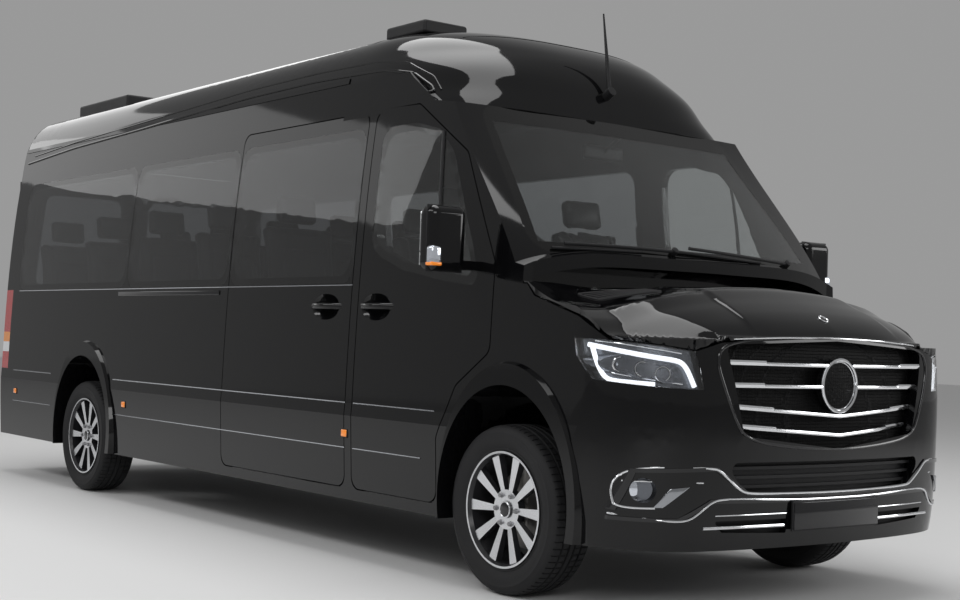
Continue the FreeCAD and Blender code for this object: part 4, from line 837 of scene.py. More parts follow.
    @staticmethod
    def joined(name: str, pieces: list[Piece]) -> Piece:
        """Join pieces into one.

        Args:
            name: The joined piece's name.
            pieces: The pieces.

        Returns:
            The joined piece.
        """
        bpy.ops.object.select_all(action="DESELECT")
        for piece in pieces:
            piece.select_set(True)
        bpy.context.view_layer.objects.active = pieces[0]
        if len(pieces) > 1:
            bpy.ops.object.join()
        pieces[0].name = name
        pieces[0].data.name = name
        return pieces[0]

    @staticmethod
    def recast(name: str, node: str, cuts: tuple[tuple[Vector, tuple[float, ...]], ...]) -> Piece:
        """Copy a node's mesh, weld it and cut it finely so that it can be reshaped.

        Args:
            name: The new piece's name.
            node: The node that is copied.
            cuts: Directions, each with the distances of the level cuts across it.

        Returns:
            The piece.
        """
        piece = Bench.copied(frame["nodes"][node], name, Matrix.Identity(4))
        piece.modifiers.clear()
        piece.parent = None
        for key in list(piece.keys()):
            del piece[key]
        Bench.only(piece)
        bpy.ops.object.mode_set(mode="EDIT")
        bpy.ops.mesh.select_all(action="SELECT")
        bpy.ops.mesh.remove_doubles(threshold=0.00002)
        for way, distances in cuts:
            for distance in distances:
                bpy.ops.mesh.select_all(action="SELECT")
                bpy.ops.mesh.bisect(plane_co=way * distance, plane_no=way)
        bpy.ops.object.mode_set(mode="OBJECT")
        return piece

    @staticmethod
    def copied(piece: Piece, name: str, move: Matrix) -> Piece:
        """Copy a piece with its own mesh to another place.

        Args:
            piece: The piece.
            name: The copy's name.
            move: Where the copy goes, in its mesh.

        Returns:
            The copy.
        """
        copy = piece.copy()
        copy.data = piece.data.copy()
        copy.name = name
        copy.data.name = name
        bpy.context.scene.collection.objects.link(copy)
        copy.data.transform(move)
        return copy

    @staticmethod
    def done(piece: Piece, finish: Finish, body: str, angle: float = 35.0) -> Piece:
        """Finish a piece and let a body carry it.

        Args:
            piece: The piece.
            finish: Its surface.
            body: The body that it rides on.
            angle: The least angle in degrees of an edge that stays sharp.

        Returns:
            The piece.
        """
        Bench.only(piece)
        bpy.ops.object.shade_smooth_by_angle(angle=math.radians(angle))
        piece.data.materials.clear()
        piece.data.materials.append(finish.material())
        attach(piece, body)
        LOG.info("built %s on %s", piece.name, body)
        return piece


@dataclass
class Headlamps:
    """What shows through the clear covers: light guides, projectors and their rails."""

    guide: float = 0.0095
    depth: float = 0.016
    rail_wire: float = 0.003
    rail_rise: float = 0.004
    bezel_wire: float = 0.0048
    bezel_depth: float = 0.012
    lens_depth: float = 0.024
    lens_gap: float = 0.002
    lens_rise: float = 0.014
    turnout: float = 0.85
    reach: float = 0.02
    upper: tuple[Place, ...] = (
        (2.969, 0.989, 1.047), (3.129, 0.948, 1.024), (3.239, 0.872, 1.007), (3.292, 0.809, 0.999),
        (3.309, 0.784, 0.990), (3.319, 0.768, 0.970), (3.326, 0.755, 0.944), (3.333, 0.742, 0.912),
        (3.336, 0.736, 0.898),
    )
    lower: tuple[Place, ...] = (
        (2.995, 0.988, 1.037), (3.016, 0.986, 0.984), (3.039, 0.983, 0.946), (3.061, 0.975, 0.922),
        (3.093, 0.962, 0.911), (3.175, 0.931, 0.907), (3.241, 0.869, 0.903),
    )
    reflector: tuple[Place, ...] = ((3.010, 0.982, 1.063), (3.160, 0.937, 1.054), (3.309, 0.786, 1.026))
    rail: tuple[Place, ...] = ((3.093, 0.972, 0.942), (3.200, 0.915, 0.926), (3.313, 0.784, 0.908))
    projectors: tuple[Place, ...] = ((3.126, 0.960, 0.975), (3.210, 0.913, 0.961), (3.269, 0.853, 0.945))
    lens: float = 0.027

    def _below(self, side: Side, cover: Surface, point: Place, depth: float) -> Vector:
        """Set one place of the left lamp below the outer face of this side's cover."""
        outward = (AHEAD + side.out()).normalized()
        return cover.sunk(side.place(point) + outward * self.reach, depth, outward)

    def _run(self, side: Side, cover: Surface, points: tuple[Place, ...], depth: float, wire: float) -> Piece:
        """Run a round bar through places of the left lamp, below this side's cover."""
        return Bench.tube("lamp_bar", [self._below(side, cover, point, depth) for point in points], wire)

    def fill(self, side: Side) -> None:
        """Fill one lamp with its guides, rails and projectors.

        Args:
            side: Which side.
        """
        cover = Surface(f"headlamp_lens_{side.word}")
        facing = (AHEAD + side.out() * self.turnout).normalized()
        guides = [self._run(side, cover, points, self.depth, self.guide) for points in (self.upper, self.lower)]
        Bench.done(Bench.joined(f"light_guide_{side.word}", guides), LIGHT_GUIDE, "body")
        bright = [self._run(side, cover, points, self.depth - self.rail_rise, self.rail_wire)
                  for points in (self.reflector, self.rail)]
        bright += [Bench.ring("bezel", self._below(side, cover, point, self.bezel_depth), facing, self.lens,
                              self.bezel_wire) for point in self.projectors]
        Bench.done(Bench.joined(f"lamp_bezels_{side.word}", bright), CHROME, "body")
        lenses = [Bench.dome("lens", self._below(side, cover, point, self.lens_depth), facing,
                             self.lens - self.lens_gap, self.lens_rise) for point in self.projectors]
        Bench.done(Bench.joined(f"projector_lenses_{side.word}", lenses), LAMP_GLASS, "body")

    def build(self) -> None:
        """Fill both lamps."""
        for side in Side:
            self.fill(side)


@dataclass
class Nose:
    """The emblem ring, the bumper's bright lines, fog lamp rims, slats and the blank plate."""

    emblem: Place = (3.41, 0.0, 0.911)
    rim_radius: float = 0.105
    rim_wire: float = 0.0072
    step_radius: float = 0.096
    step_wire: float = 0.0030
    step_set: float = 0.004
    dish_radius: float = 0.104
    dish_depth: float = 0.036
    dish_set: float = 0.022
    fog: Place = (3.169, 0.894, 0.505)
    fog_radius: float = 0.043
    fog_wire: float = 0.0045
    fog_glass_rise: float = 0.007
    fog_turn: float = math.radians(24.0)
    fin_thickness: float = 0.004
    fog_line: Table = ((0.948, 0.538), (0.83, 0.539), (0.70, 0.537))
    fog_trim: Table = ((0.964, 0.452), (0.950, 0.440), (0.910, 0.437), (0.865, 0.440))
    fin: Table = ((0.871, 0.442), (0.842, 0.442), (0.752, 0.522), (0.822, 0.514))
    slat_line: tuple[float, float, float] = (0.285, 0.640, 0.411)
    slat_bar: tuple[float, float, float] = (0.285, 0.690, 0.364)
    plate_half: float = 0.260
    plate_low: float = 0.346
    plate_high: float = 0.452
    bars: tuple[tuple[float, float, float, float], ...] = (
        (0.992, 0.990, 0.590, 0.078), (0.905, 0.905, 0.575, 0.108), (0.822, 0.788, 0.548, 0.0),
        (0.745, 0.712, 0.515, 0.0),
    )
    bar_wire: float = 0.0118
    trims: tuple[Table, ...] = (
        ((0.0, 0.486), (0.31, 0.489), (0.49, 0.493), (0.53, 0.505), (0.592, 0.550), (0.632, 0.583), (0.665, 0.592),
         (0.83, 0.595), (0.915, 0.588), (0.955, 0.560), (0.967, 0.500), (0.962, 0.447)),
        ((0.0, 0.462), (0.245, 0.462), (0.50, 0.472), (0.62, 0.474), (0.666, 0.462), (0.70, 0.430), (0.745, 0.396),
         (0.80, 0.390), (0.90, 0.400), (0.967, 0.412)),
    )
    trim_wire: float = 0.0048
    grille_frame: Table = (
        (0.0, 1.098), (0.35, 1.090), (0.612, 1.068), (0.655, 1.000), (0.622, 0.900), (0.575, 0.790), (0.520, 0.700),
        (0.30, 0.668), (0.0, 0.652),
    )

    def _line(self, skin: Surface, points: Table, side: float, proud: float) -> list[Vector]:
        """Lay places given as Y and Z on the nose."""
        return [skin.ahead(y * side, z, proud) for y, z in points]

    def emblem_ring(self) -> None:
        """Put the bare ring on the grille."""
        middle = Vector(self.emblem)
        parts = [Bench.ring("emblem_rim", middle, AHEAD, self.rim_radius, self.rim_wire),
                 Bench.ring("emblem_step", middle - AHEAD * self.step_set, AHEAD, self.step_radius, self.step_wire)]
        Bench.done(Bench.joined("emblem_ring", parts), CHROME, "body")
        dish = Bench.drum("emblem_dish", middle - AHEAD * self.dish_set, AHEAD, self.dish_radius, self.dish_depth,
                          0.004, 64)
        Bench.done(dish, GRILLE_MESH, "body")

    def grille_rim(self, skin: Surface) -> None:
        """Run the gloss frame round the grille's opening.

        Args:
            skin: The skin round the opening.
        """
        right = self._line(skin, self.grille_frame, -1.0, PROUD)
        left = self._line(skin, self.grille_frame, 1.0, PROUD)[-2:0:-1]
        Bench.done(Bench.tube("grille_frame", right + left, 0.006, closed=True), GLOSS_PLASTIC, "body")

    def fog_side(self, skin: Surface, side: Side) -> None:
        """Trim one fog lamp and its recess.

        Args:
            skin: The bumper's skin.
            side: Which side.
        """
        sign = float(side.value)
        facing = Vector((math.cos(self.fog_turn), sign * math.sin(self.fog_turn), 0.0))
        lamp = Surface("fog_lamps").ahead(self.fog[1] * sign, self.fog[2])
        parts = [Bench.ring("fog_rim", lamp + facing * PROUD, facing, self.fog_radius, self.fog_wire),
                 Bench.tube("fog_line", self._line(skin, self.fog_line, sign, PROUD), 0.0035),
                 Bench.tube("fog_trim", self._line(skin, self.fog_trim, sign, PROUD), self.trim_wire)]
        Bench.done(Bench.joined(f"fog_trim_{side.word}", parts), CHROME, "body")
        glass = Bench.dome(f"fog_glass_{side.word}", lamp, facing, self.fog_radius - 0.003, self.fog_glass_rise)
        Bench.done(glass, LAMP_GLASS, "body")
        corners = self._line(skin, self.fin, sign, 0.0)
        fin = Bench.patch(f"fog_fin_{side.word}", corners, "front_bumper", self.fin_thickness, self.fin_thickness,
                          steps=8)
        Bench.done(Bench.rounded(fin, 0.0015), DARK_CHROME, "body")

    def grille_bar(self, index: int) -> Piece:
        """Bend one bright bar across the grille, thicker towards its ends.

        Args:
            index: Its number from the top.

        Returns:
            The bar.
        """
        end_level, middle_level, half, inner = self.bars[index]
        parts = []
        for side in Side:
            run = []
            for step in range(9):
                share = step / 8
                y = side.value * (inner + (half - inner) * share)
                z = middle_level + (end_level - middle_level) * share
                x = 3.410 - 0.058 * (y / half) ** 2 - 0.006 * index * share
                run.append(Vector((x, y, z)))
            parts.append(Bench.tube("bar", run, self.bar_wire * 0.75))
            blade = [run[5].lerp(run[6], 0.3), run[6], run[7], run[8]]
            parts.append(Bench.tube("blade", [spot + UP * 0.005 for spot in blade], self.bar_wire * 0.9))
        return Bench.joined(f"grille_bar_{index}", parts)

    def bumper_lines(self, skin: Surface) -> None:
        """Run the bumper's two bright lines across the nose.

        Args:
            skin: The bumper's skin.
        """
        lines = []
        for line in self.trims:
            left = self._line(skin, line, 1.0, PROUD)
            right = self._line(skin, line, -1.0, PROUD)[:0:-1]
            lines.append(Bench.tube("line", right + left, self.trim_wire))
        Bench.done(Bench.joined("bumper_lines", lines), CHROME, "body")

    def bright_bars(self) -> None:
        """Set the four bright bars in the place of the plain ones."""
        bars = [self.grille_bar(index) for index in range(len(self.bars))]
        bars = Bench.done(Bench.joined("grille_bright_bars", bars), CHROME, "body")
        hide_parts("grille_bars")

    def slats(self, skin: Surface, side: Side) -> None:
        """Lay the fine line and the bright bar beside the plate.

        Args:
            skin: The bumper's skin.
            side: Which side.
        """
        parts = []
        for (near, far, z), wire in ((self.slat_line, 0.003), (self.slat_bar, 0.0075)):
            run = [skin.ahead(side.value * (near + (far - near) * step / 4), z, PROUD) for step in range(5)]
            parts.append(Bench.tube("slat", run, wire))
        Bench.done(Bench.joined(f"lower_slats_{side.word}", parts), CHROME, "body")

    def plate(self, skin: Surface) -> None:
        """Hang the blank plate on its holder.

        Args:
            skin: The bumper's skin.
        """
        middle = skin.ahead(0.0, (self.plate_low + self.plate_high) / 2, 0.006)
        size = (0.008, 2 * self.plate_half, self.plate_high - self.plate_low)
        around = (0.012, size[1] + 0.014, size[2] + 0.012)
        board = Bench.block("plate_holder", middle - AHEAD * 0.002, around, 0.003)
        Bench.done(board, MATT_PLASTIC, "body")
        Bench.done(Bench.block("blank_plate", middle + AHEAD * 0.004, size, 0.002), GLOSS_PLASTIC, "body")

    def build(self) -> None:
        """Trim the whole nose."""
        skin = Surface("front_bumper", "bumper_trim", "intake_grille", "grille_panel")
        self.emblem_ring()
        self.grille_rim(Surface("front_bumper", "bonnet_skin", "grille_panel"))
        self.bumper_lines(skin)
        self.bright_bars()
        for side in Side:
            self.fog_side(skin, side)
            self.slats(skin, side)
        self.plate(skin)


@dataclass
class RoofCap:
    """The roof with its cap rounded off towards the windscreen, and the mouldings along its sides."""

    joint: float = 1.05
    half: Table = (
        (2.108, 0.910), (2.150, 0.904), (2.200, 0.8965), (2.250, 0.889), (2.300, 0.880), (2.350, 0.866),
        (2.400, 0.845), (2.450, 0.816), (2.500, 0.7685), (2.550, 0.663), (2.570, 0.577), (2.590, 0.356),
        (2.600, 0.0),
    )
    reach: Table = (
        (2.108, 2.008), (2.200, 1.980), (2.287, 1.950), (2.376, 1.900), (2.430, 1.850), (2.467, 1.800),
        (2.518, 1.700), (2.549, 1.600), (2.570, 1.500), (2.584, 1.400), (2.596, 1.230), (2.600, 1.050),
    )
    squareness: Table = (
        (2.108, 7.0), (2.200, 5.0), (2.300, 4.0), (2.420, 2.9), (2.500, 2.7), (2.600, 2.4),
    )
    thickness: float = 0.012
    columns: int = 72
    levels: int = 44
    gutter: Table = (
        (-3.20, 2.215), (-2.40, 2.262), (-1.3665, 2.293), (0.0, 2.346), (0.70, 2.352), (1.3415, 2.331),
        (1.5735, 2.288), (1.7145, 2.211), (1.7665, 2.158),
    )
    upper: Table = (
        (-3.10, 2.262), (-2.40, 2.300), (-1.3665, 2.338), (0.0, 2.392), (0.70, 2.398), (1.26, 2.384), (1.50, 2.350),
        (1.70, 2.262), (1.80, 2.165),
    )
    seam: tuple[float, float] = (1.70, 0.600)

    def spot(self, turn: float, level: float) -> Vector:
        """Give a place on the cap.

        Args:
            turn: From -90 degrees on the right side over 0 at the front to 90 on the left, in radians.
            level: Its height.

        Returns:
            The place.
        """
        power = 2.0 / between(level, self.squareness)
        ahead = math.cos(turn) ** power if abs(turn) < 1.5707 else 0.0
        aside = math.copysign(abs(math.sin(turn)) ** power, turn)
        return Vector((self.joint + (between(level, self.reach) - self.joint) * ahead,
                       between(level, self.half) * aside, level))

    def cap(self) -> Piece:
        """Shape the cap in front of the joint as one smooth sheet.

        Returns:
            The cap.
        """
        bpy.ops.object.select_all(action="DESELECT")
        bpy.ops.mesh.primitive_grid_add(x_subdivisions=self.columns, y_subdivisions=self.levels, size=2.0)
        cap = Bench._taken("roof_cap")
        low, high = self.half[0][0], self.half[-1][0]
        for vertex in cap.data.vertices:
            turn = vertex.co.x * math.pi / 2
            share = (1 - vertex.co.y) / 2
            vertex.co = self.spot(turn, high - (high - low) * share ** 2.2)
        Bench.edited(cap, lambda: bpy.ops.mesh.remove_doubles(threshold=0.0002))
        Bench.edited(cap, lambda: bpy.ops.mesh.normals_make_consistent(inside=False))
        Bench.only(cap)
        wall = cap.modifiers.new("wall", "SOLIDIFY")
        wall.thickness = self.thickness
        wall.offset = -1.0
        bpy.ops.object.modifier_apply(modifier=wall.name)
        return cap

    def skin(self) -> None:
        """Cut the plain roof at the joint and set the smooth cap before it."""
        roof = Bench.recast("roof_skin", "roof_panel", ())
        Bench.edited(roof, lambda: bpy.ops.mesh.bisect(
            plane_co=AHEAD * self.joint, plane_no=AHEAD, clear_outer=True))
        Bench.done(roof, BLACK_PAINT, "body", 28.0)
        even = roof.modifiers.new("even", "WEIGHTED_NORMAL")
        even.keep_sharp = True
        even.weight = 80
        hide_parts("roof_panel")
        Bench.done(self.cap(), BLACK_PAINT, "body", 50.0)

    def build(self) -> None:
        """Shape the roof and lay its mouldings."""
        self.skin()
        skin = Surface("roof_skin", "roof_cap", "body_shell", "side_panel")
        for side in Side:
            for name, line, wire in (("gutter", self.gutter, 0.0085), ("upper_gutter", self.upper, 0.0055)):
                run = []
                for (x, z), (x_next, z_next) in zip(line, line[1:]):
                    run += [skin.beside(side, x + (x_next - x) * step / 4, z + (z_next - z) * step / 4, -0.001)
                            for step in range(4)]
                Bench.done(Bench.tube(f"{name}_moulding_{side.word}", run, wire), BLACK_PAINT, "body")
        front, half = self.seam
        run = [skin.above(front - 0.10 * (step / 8 - 1) ** 2, half * (step / 8 - 1), 0.0004) for step in range(17)]
        Bench.done(Bench.tube("cap_joint", run, 0.0022), MATT_PLASTIC, "body")


@dataclass
class Bonnet:
    """The bonnet's drawn-down nose and creases, its vents, badge and a chrome line along its lead edge that is a
    painted highlight.
    """

    front: Table = (
        (0.0, 3.392), (0.30, 3.380), (0.50, 3.360), (0.60, 3.345), (0.70, 3.323), (0.80, 3.284), (0.90, 3.207),
        (0.95, 3.133), (0.99, 3.060),
    )
    profile: Table = (
        (0.0, 1.104), (0.012, 1.124), (0.035, 1.150), (0.070, 1.180), (0.120, 1.211), (0.170, 1.237),
        (0.230, 1.262), (0.300, 1.300),
    )
    foot: Table = (
        (2.60, 1.290), (2.70, 1.240), (2.80, 1.205), (2.90, 1.190), (3.00, 1.145), (3.10, 1.075), (3.30, 1.070),
    )
    crease: Table = ((2.60, 0.900), (2.93, 0.800), (3.16, 0.700), (3.34, 0.600))
    dome: Table = ((2.62, 0.300), (2.85, 0.400), (3.34, 0.450))
    dome_rise: float = 0.009
    vent: tuple[Place, Place, Place, Place] = (
        (2.700, 0.800, 1.363), (2.760, 0.470, 1.382), (2.860, 0.470, 1.345), (2.815, 0.770, 1.33),
    )
    louvres: int = 5
    badge: Place = (3.318, 0.0, 1.17)

    def height(self, x: float, y: float) -> float:
        """Give how high the finished bonnet stands at a place.

        Args:
            x: The place along the vehicle.
            y: The place across it.

        Returns:
            The height.
        """
        aside, along = abs(y), x - 2.60
        plain = 1.448 - 0.24 * along - 0.195 * along ** 2
        nose = between(between(aside, self.front) - x, self.profile)
        gap = (plain - nose) / 0.012
        centre = min(plain, nose) - 0.006 * math.exp(-abs(gap))
        crown = 0.034 * aside ** 2 + 0.075 * aside ** 6.5
        crown += 0.045 * min(aside / 0.72, 1.2) ** 2 * eased(along / 0.30)
        beyond = aside - between(x, self.crease)
        fold = 0.16 * (max(beyond, 0.0) if abs(beyond) > 0.015 else (beyond + 0.015) ** 2 / 0.06)
        rise = self.dome_rise * eased((between(x, self.dome) - aside) / 0.03 + 0.5) * eased(along / 0.12)
        rise *= eased((between(aside, self.front) - x) / 0.12)
        return centre - crown - fold * eased(along / 0.2) + rise

    def low(self, x: float, y: float) -> float:
        """Give how high the bonnet's lower edge stands at a place."""
        return 1.088 if abs(y) < 0.62 else between(x, self.foot)

    def level(self, x: float, y: float) -> float:
        """Give the bonnet's height with its meeting with the lower edge rounded off."""
        height, least = self.height(x, y), self.low(x, y) + 0.006
        return max(height, least) + 0.003 * math.exp(-abs(height - least) / 0.009)

    def lowered(self, spot: Vector, top: float) -> Vector:
        """Give where a place of the plain bonnet goes.

        Args:
            spot: The place.
            top: How high the plain bonnet stands there.

        Returns:
            The place on the drawn-down bonnet.
        """
        low = self.low(spot.x, spot.y)
        wanted = self.level(spot.x, spot.y)
        if abs(spot.z - top) < 0.003:
            return Vector((spot.x, spot.y, wanted))
        share = min(max((spot.z - low) / max(top - low, 0.001), 0.0), 1.0)
        return Vector((spot.x, spot.y, spot.z - (top - wanted) * share))

    def reshape(self) -> None:
        """Draw down a copy of the plain bonnet and set it in its place."""
        along = tuple(2.62 + 0.02 * step for step in range(28)) + tuple(3.17 + 0.010 * step for step in range(22))
        across = tuple(-0.98 + 0.02 * step for step in range(99))
        rises = tuple(1.10 + 0.02 * step for step in range(9))
        skin = Bench.recast("bonnet_skin", "bonnet", ((AHEAD, along), (LEFTWARD, across), (UP, rises)))
        plain = Surface("bonnet")
        for vertex in skin.data.vertices:
            spot = vertex.co.copy()
            hit = plain.tree.ray_cast(Vector((spot.x, spot.y, 4.0)), -UP)[0]
            vertex.co = self.lowered(spot, max(hit.z, spot.z) if hit else max(1.258, spot.z))
        Bench.done(skin, BLACK_PAINT, "bonnet", 32.0)
        self.polish(skin)
        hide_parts("bonnet")

    def facing(self, spot: Vector) -> Vector:
        """Give where the bonnet's top faces at a place.

        Args:
            spot: The place.

        Returns:
            The normal of the drawn shape there.
        """
        step = 0.006
        ahead = self.level(spot.x + step, spot.y) - self.level(spot.x - step, spot.y)
        aside = self.level(spot.x, spot.y + step) - self.level(spot.x, spot.y - step)
        return Vector((-ahead, -aside, 2 * step)).normalized()

    def polish(self, skin: Piece) -> None:
        """Let the top shade as the drawn shape, not as its small faces.

        Args:
            skin: The bonnet's new skin.
        """
        mesh = skin.data
        normals = [corner.vector.copy() for corner in mesh.corner_normals]
        wanted = {vertex.index: self.facing(vertex.co) for vertex in mesh.vertices
                  if abs(vertex.co.z - self.level(vertex.co.x, vertex.co.y)) < 0.004}
        for face in mesh.polygons:
            for loop in face.loop_indices:
                index = mesh.loops[loop].vertex_index
                if index in wanted and face.normal.dot(wanted[index]) > 0.6:
                    normals[loop] = wanted[index]
        mesh.normals_split_custom_set(normals)

    def vents(self, skin: Surface, side: Side) -> None:
        """Set one air vent into the bonnet.

        Args:
            skin: The bonnet's skin.
            side: Which side.
        """
        corners = [side.place(point) for point in self.vent]
        rim = []
        for start, end in zip(corners, corners[1:] + corners[:1]):
            rim += [skin.above(*start.lerp(end, step / 5).to_2d(), 0.001) for step in range(5)]
        parts = [Bench.tube("vent_rim", rim, 0.0035, closed=True)]
        for step in range(self.louvres):
            share = (step + 0.5) / self.louvres
            ends = corners[0].lerp(corners[3], share), corners[1].lerp(corners[2], share)
            run = [skin.above(*ends[0].lerp(ends[1], part / 6).to_2d(), 0.002) for part in range(7)]
            parts.append(Bench.tube("louvre", run, 0.0042))
        Bench.done(Bench.joined(f"bonnet_vent_{side.word}", parts), MATT_PLASTIC, "bonnet")

    def build(self) -> None:
        """Dress the bonnet."""
        self.reshape()
        skin = Surface("bonnet_skin")
        for side in Side:
            self.vents(skin, side)
        top, normal = skin._struck(Vector((self.badge[0], 0.0, 4.0)), -UP)
        rim = Bench.ring("bonnet_badge_rim", top + normal * 0.002, normal, 0.021, 0.0028)
        Bench.done(rim, CHROME, "bonnet")
        Bench.done(Bench.dome("bonnet_badge", top, normal, 0.020, 0.004), GLOSS_PLASTIC, "bonnet")
        # Painted highlight: a chrome line along the bonnet's lead edge stands where the paint's edge catches the
        # light.
        run = [skin.ahead(0.62 * (step / 10 - 1), 1.101 - 0.02 * (step / 10 - 1) ** 2, 0.001) for step in range(21)]
        Bench.done(Bench.tube("lead_edge_line", run, 0.0035), CHROME, "bonnet")


@dataclass
class SideTrim:
    """Glass band lines, a dark chrome bar on the rub strip's top edge that is a painted highlight, sliding rail,
    markers and sill lines.
    """

    rear_x: float = -3.05
    front_x: float = 1.30
    band_low: float = 1.292
    band_wire: float = 0.0028
    strip_levels: tuple[float, ...] = (0.733, 0.520)
    strip_wire: float = 0.0032
    strip_proud: float = 0.0005
    door_rear: float = 1.37
    door_front: float = 2.02
    door_step: float = 0.1
    arch_rear: float = -1.36
    arch_back: float = -2.36
    markers: tuple[float, ...] = (-3.0025, -1.190, 1.30)
    marker_level: float = 0.588
    rail: tuple[float, float] = (-1.36, -0.04)
    rail_level: float = 1.262

    def _bar(self, name: str, side: Side, skin: Surface, spans: list[tuple[float, float]], level: float,
             wire: float) -> Piece:
        """Lay level bars on a side.

        Args:
            name: The piece's name.
            side: Which side.
            skin: The side's skin.
            spans: Where each bar starts and ends along X.
            level: Their height.
            wire: Their radius.

        Returns:
            The piece.
        """
        bars = []
        for start, end in spans:
            steps = max(int(abs(end - start) / 0.25), 2)
            places = [start + (end - start) * step / steps for step in range(steps + 1)]
            run = [skin.beside(side, x, level, self.strip_proud) for x in places]
            bars.append(Bench.tube("bar", run, wire, smooth=False))
        return Bench.joined(name, bars)

    def build(self) -> None:
        """Trim both sides."""
        for side in Side:
            skin = Surface(f"side_panel_{side.word}", "sliding_door", f"side_glass_{side.word}", "rear_bumper")
            word = side.word
            line = self._bar(f"glass_band_line_{word}", side, skin, [(self.rear_x, self.front_x)], self.band_low,
                             self.band_wire)
            Bench.done(line, DARK_CHROME, "body")
            # The first level's bar, on the rub strip's top edge, is a painted highlight along the moulding; the
            # second is the sill's bright line.
            for index, level in enumerate(self.strip_levels):
                spans = [(self.arch_rear, self.front_x), (self.rear_x, self.arch_back)]
                strip = self._bar(f"rub_strip_{index}_{word}", side, skin, spans, level, self.strip_wire)
                Bench.done(strip, DARK_CHROME, "body")
            door = Surface(f"front_door_{word}")
            # On the front doors as well, the first bar is a painted highlight along the moulding's edge and the
            # second the sill's bright line.
            for index, level in enumerate(self.strip_levels):
                span = (self.door_rear, self.door_front - self.door_step * index)
                strip = self._bar(f"door_strip_{index}_{word}", side, door, [span], level, self.strip_wire)
                Bench.done(strip, DARK_CHROME, f"front_door_{word}")
            for index, x in enumerate(self.markers):
                place = skin.beside(side, x, self.marker_level, 0.002)
                lamp = Bench.block(f"side_marker_{index}_{word}", place, (0.046, 0.012, 0.034), 0.005, 3)
                Bench.done(lamp, ORANGE_COVER, "body")
                rim = Bench.block(f"marker_seat_{index}_{word}", place - side.out() * 0.003, (0.056, 0.010, 0.044),
                                  0.004, 3)
                Bench.done(rim, MATT_PLASTIC, "body")
            if side is Side.RIGHT:
                middle = skin.beside(side, sum(self.rail) / 2, self.rail_level, 0.002)
                rail = Bench.block("sliding_rail", middle, (self.rail[1] - self.rail[0], 0.010, 0.026), 0.004)
                Bench.done(rail, GLOSS_PLASTIC, "body")


@dataclass
class Mirrors:
    """The glasses, the seam, the indicator and the amber lamp of each door mirror."""

    x: float = 2.2725
    half: float = 1.174
    z: float = 1.465
    indicator: Place = (0.045, 0.056, 0.085)
    amber: Place = (0.046, 0.056, 0.016)

    def build(self) -> None:
        """Dress both mirrors."""
        for side in Side:
            low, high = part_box(f"door_mirror_{side.word}")
            body = f"front_door_{side.word}"
            face = Vector((low[0] - 0.001, side.value * self.half, self.z + 0.03))
            glass = Bench.block(f"mirror_glass_{side.word}", face, (0.006, 0.150, 0.165), 0.0025, 3)
            Bench.done(glass, MIRROR, body)
            face.z = self.z - 0.085
            wide = Bench.block(f"mirror_wide_glass_{side.word}", face, (0.006, 0.150, 0.052), 0.0025, 3)
            Bench.done(wide, MIRROR, body)
            seam = Bench.block(f"mirror_seam_{side.word}", Vector((self.x + 0.015, side.value * self.half, self.z)),
                               (0.004, 0.187, 0.277), 0.0015)
            Bench.done(seam, MATT_PLASTIC, body)
            lamp = Bench.block(f"mirror_indicator_{side.word}",
                               Vector((self.x + 0.035, side.value * (self.half + 0.066), self.z - 0.075)),
                               self.indicator, 0.014, 4)
            Bench.done(lamp, LAMP_GLASS, body)
            lamp = Bench.block(f"mirror_amber_{side.word}",
                               Vector((self.x + 0.036, side.value * (self.half + 0.067), self.z - 0.108)),
                               self.amber, 0.006, 3)
            Bench.done(lamp, ORANGE_COVER, body)


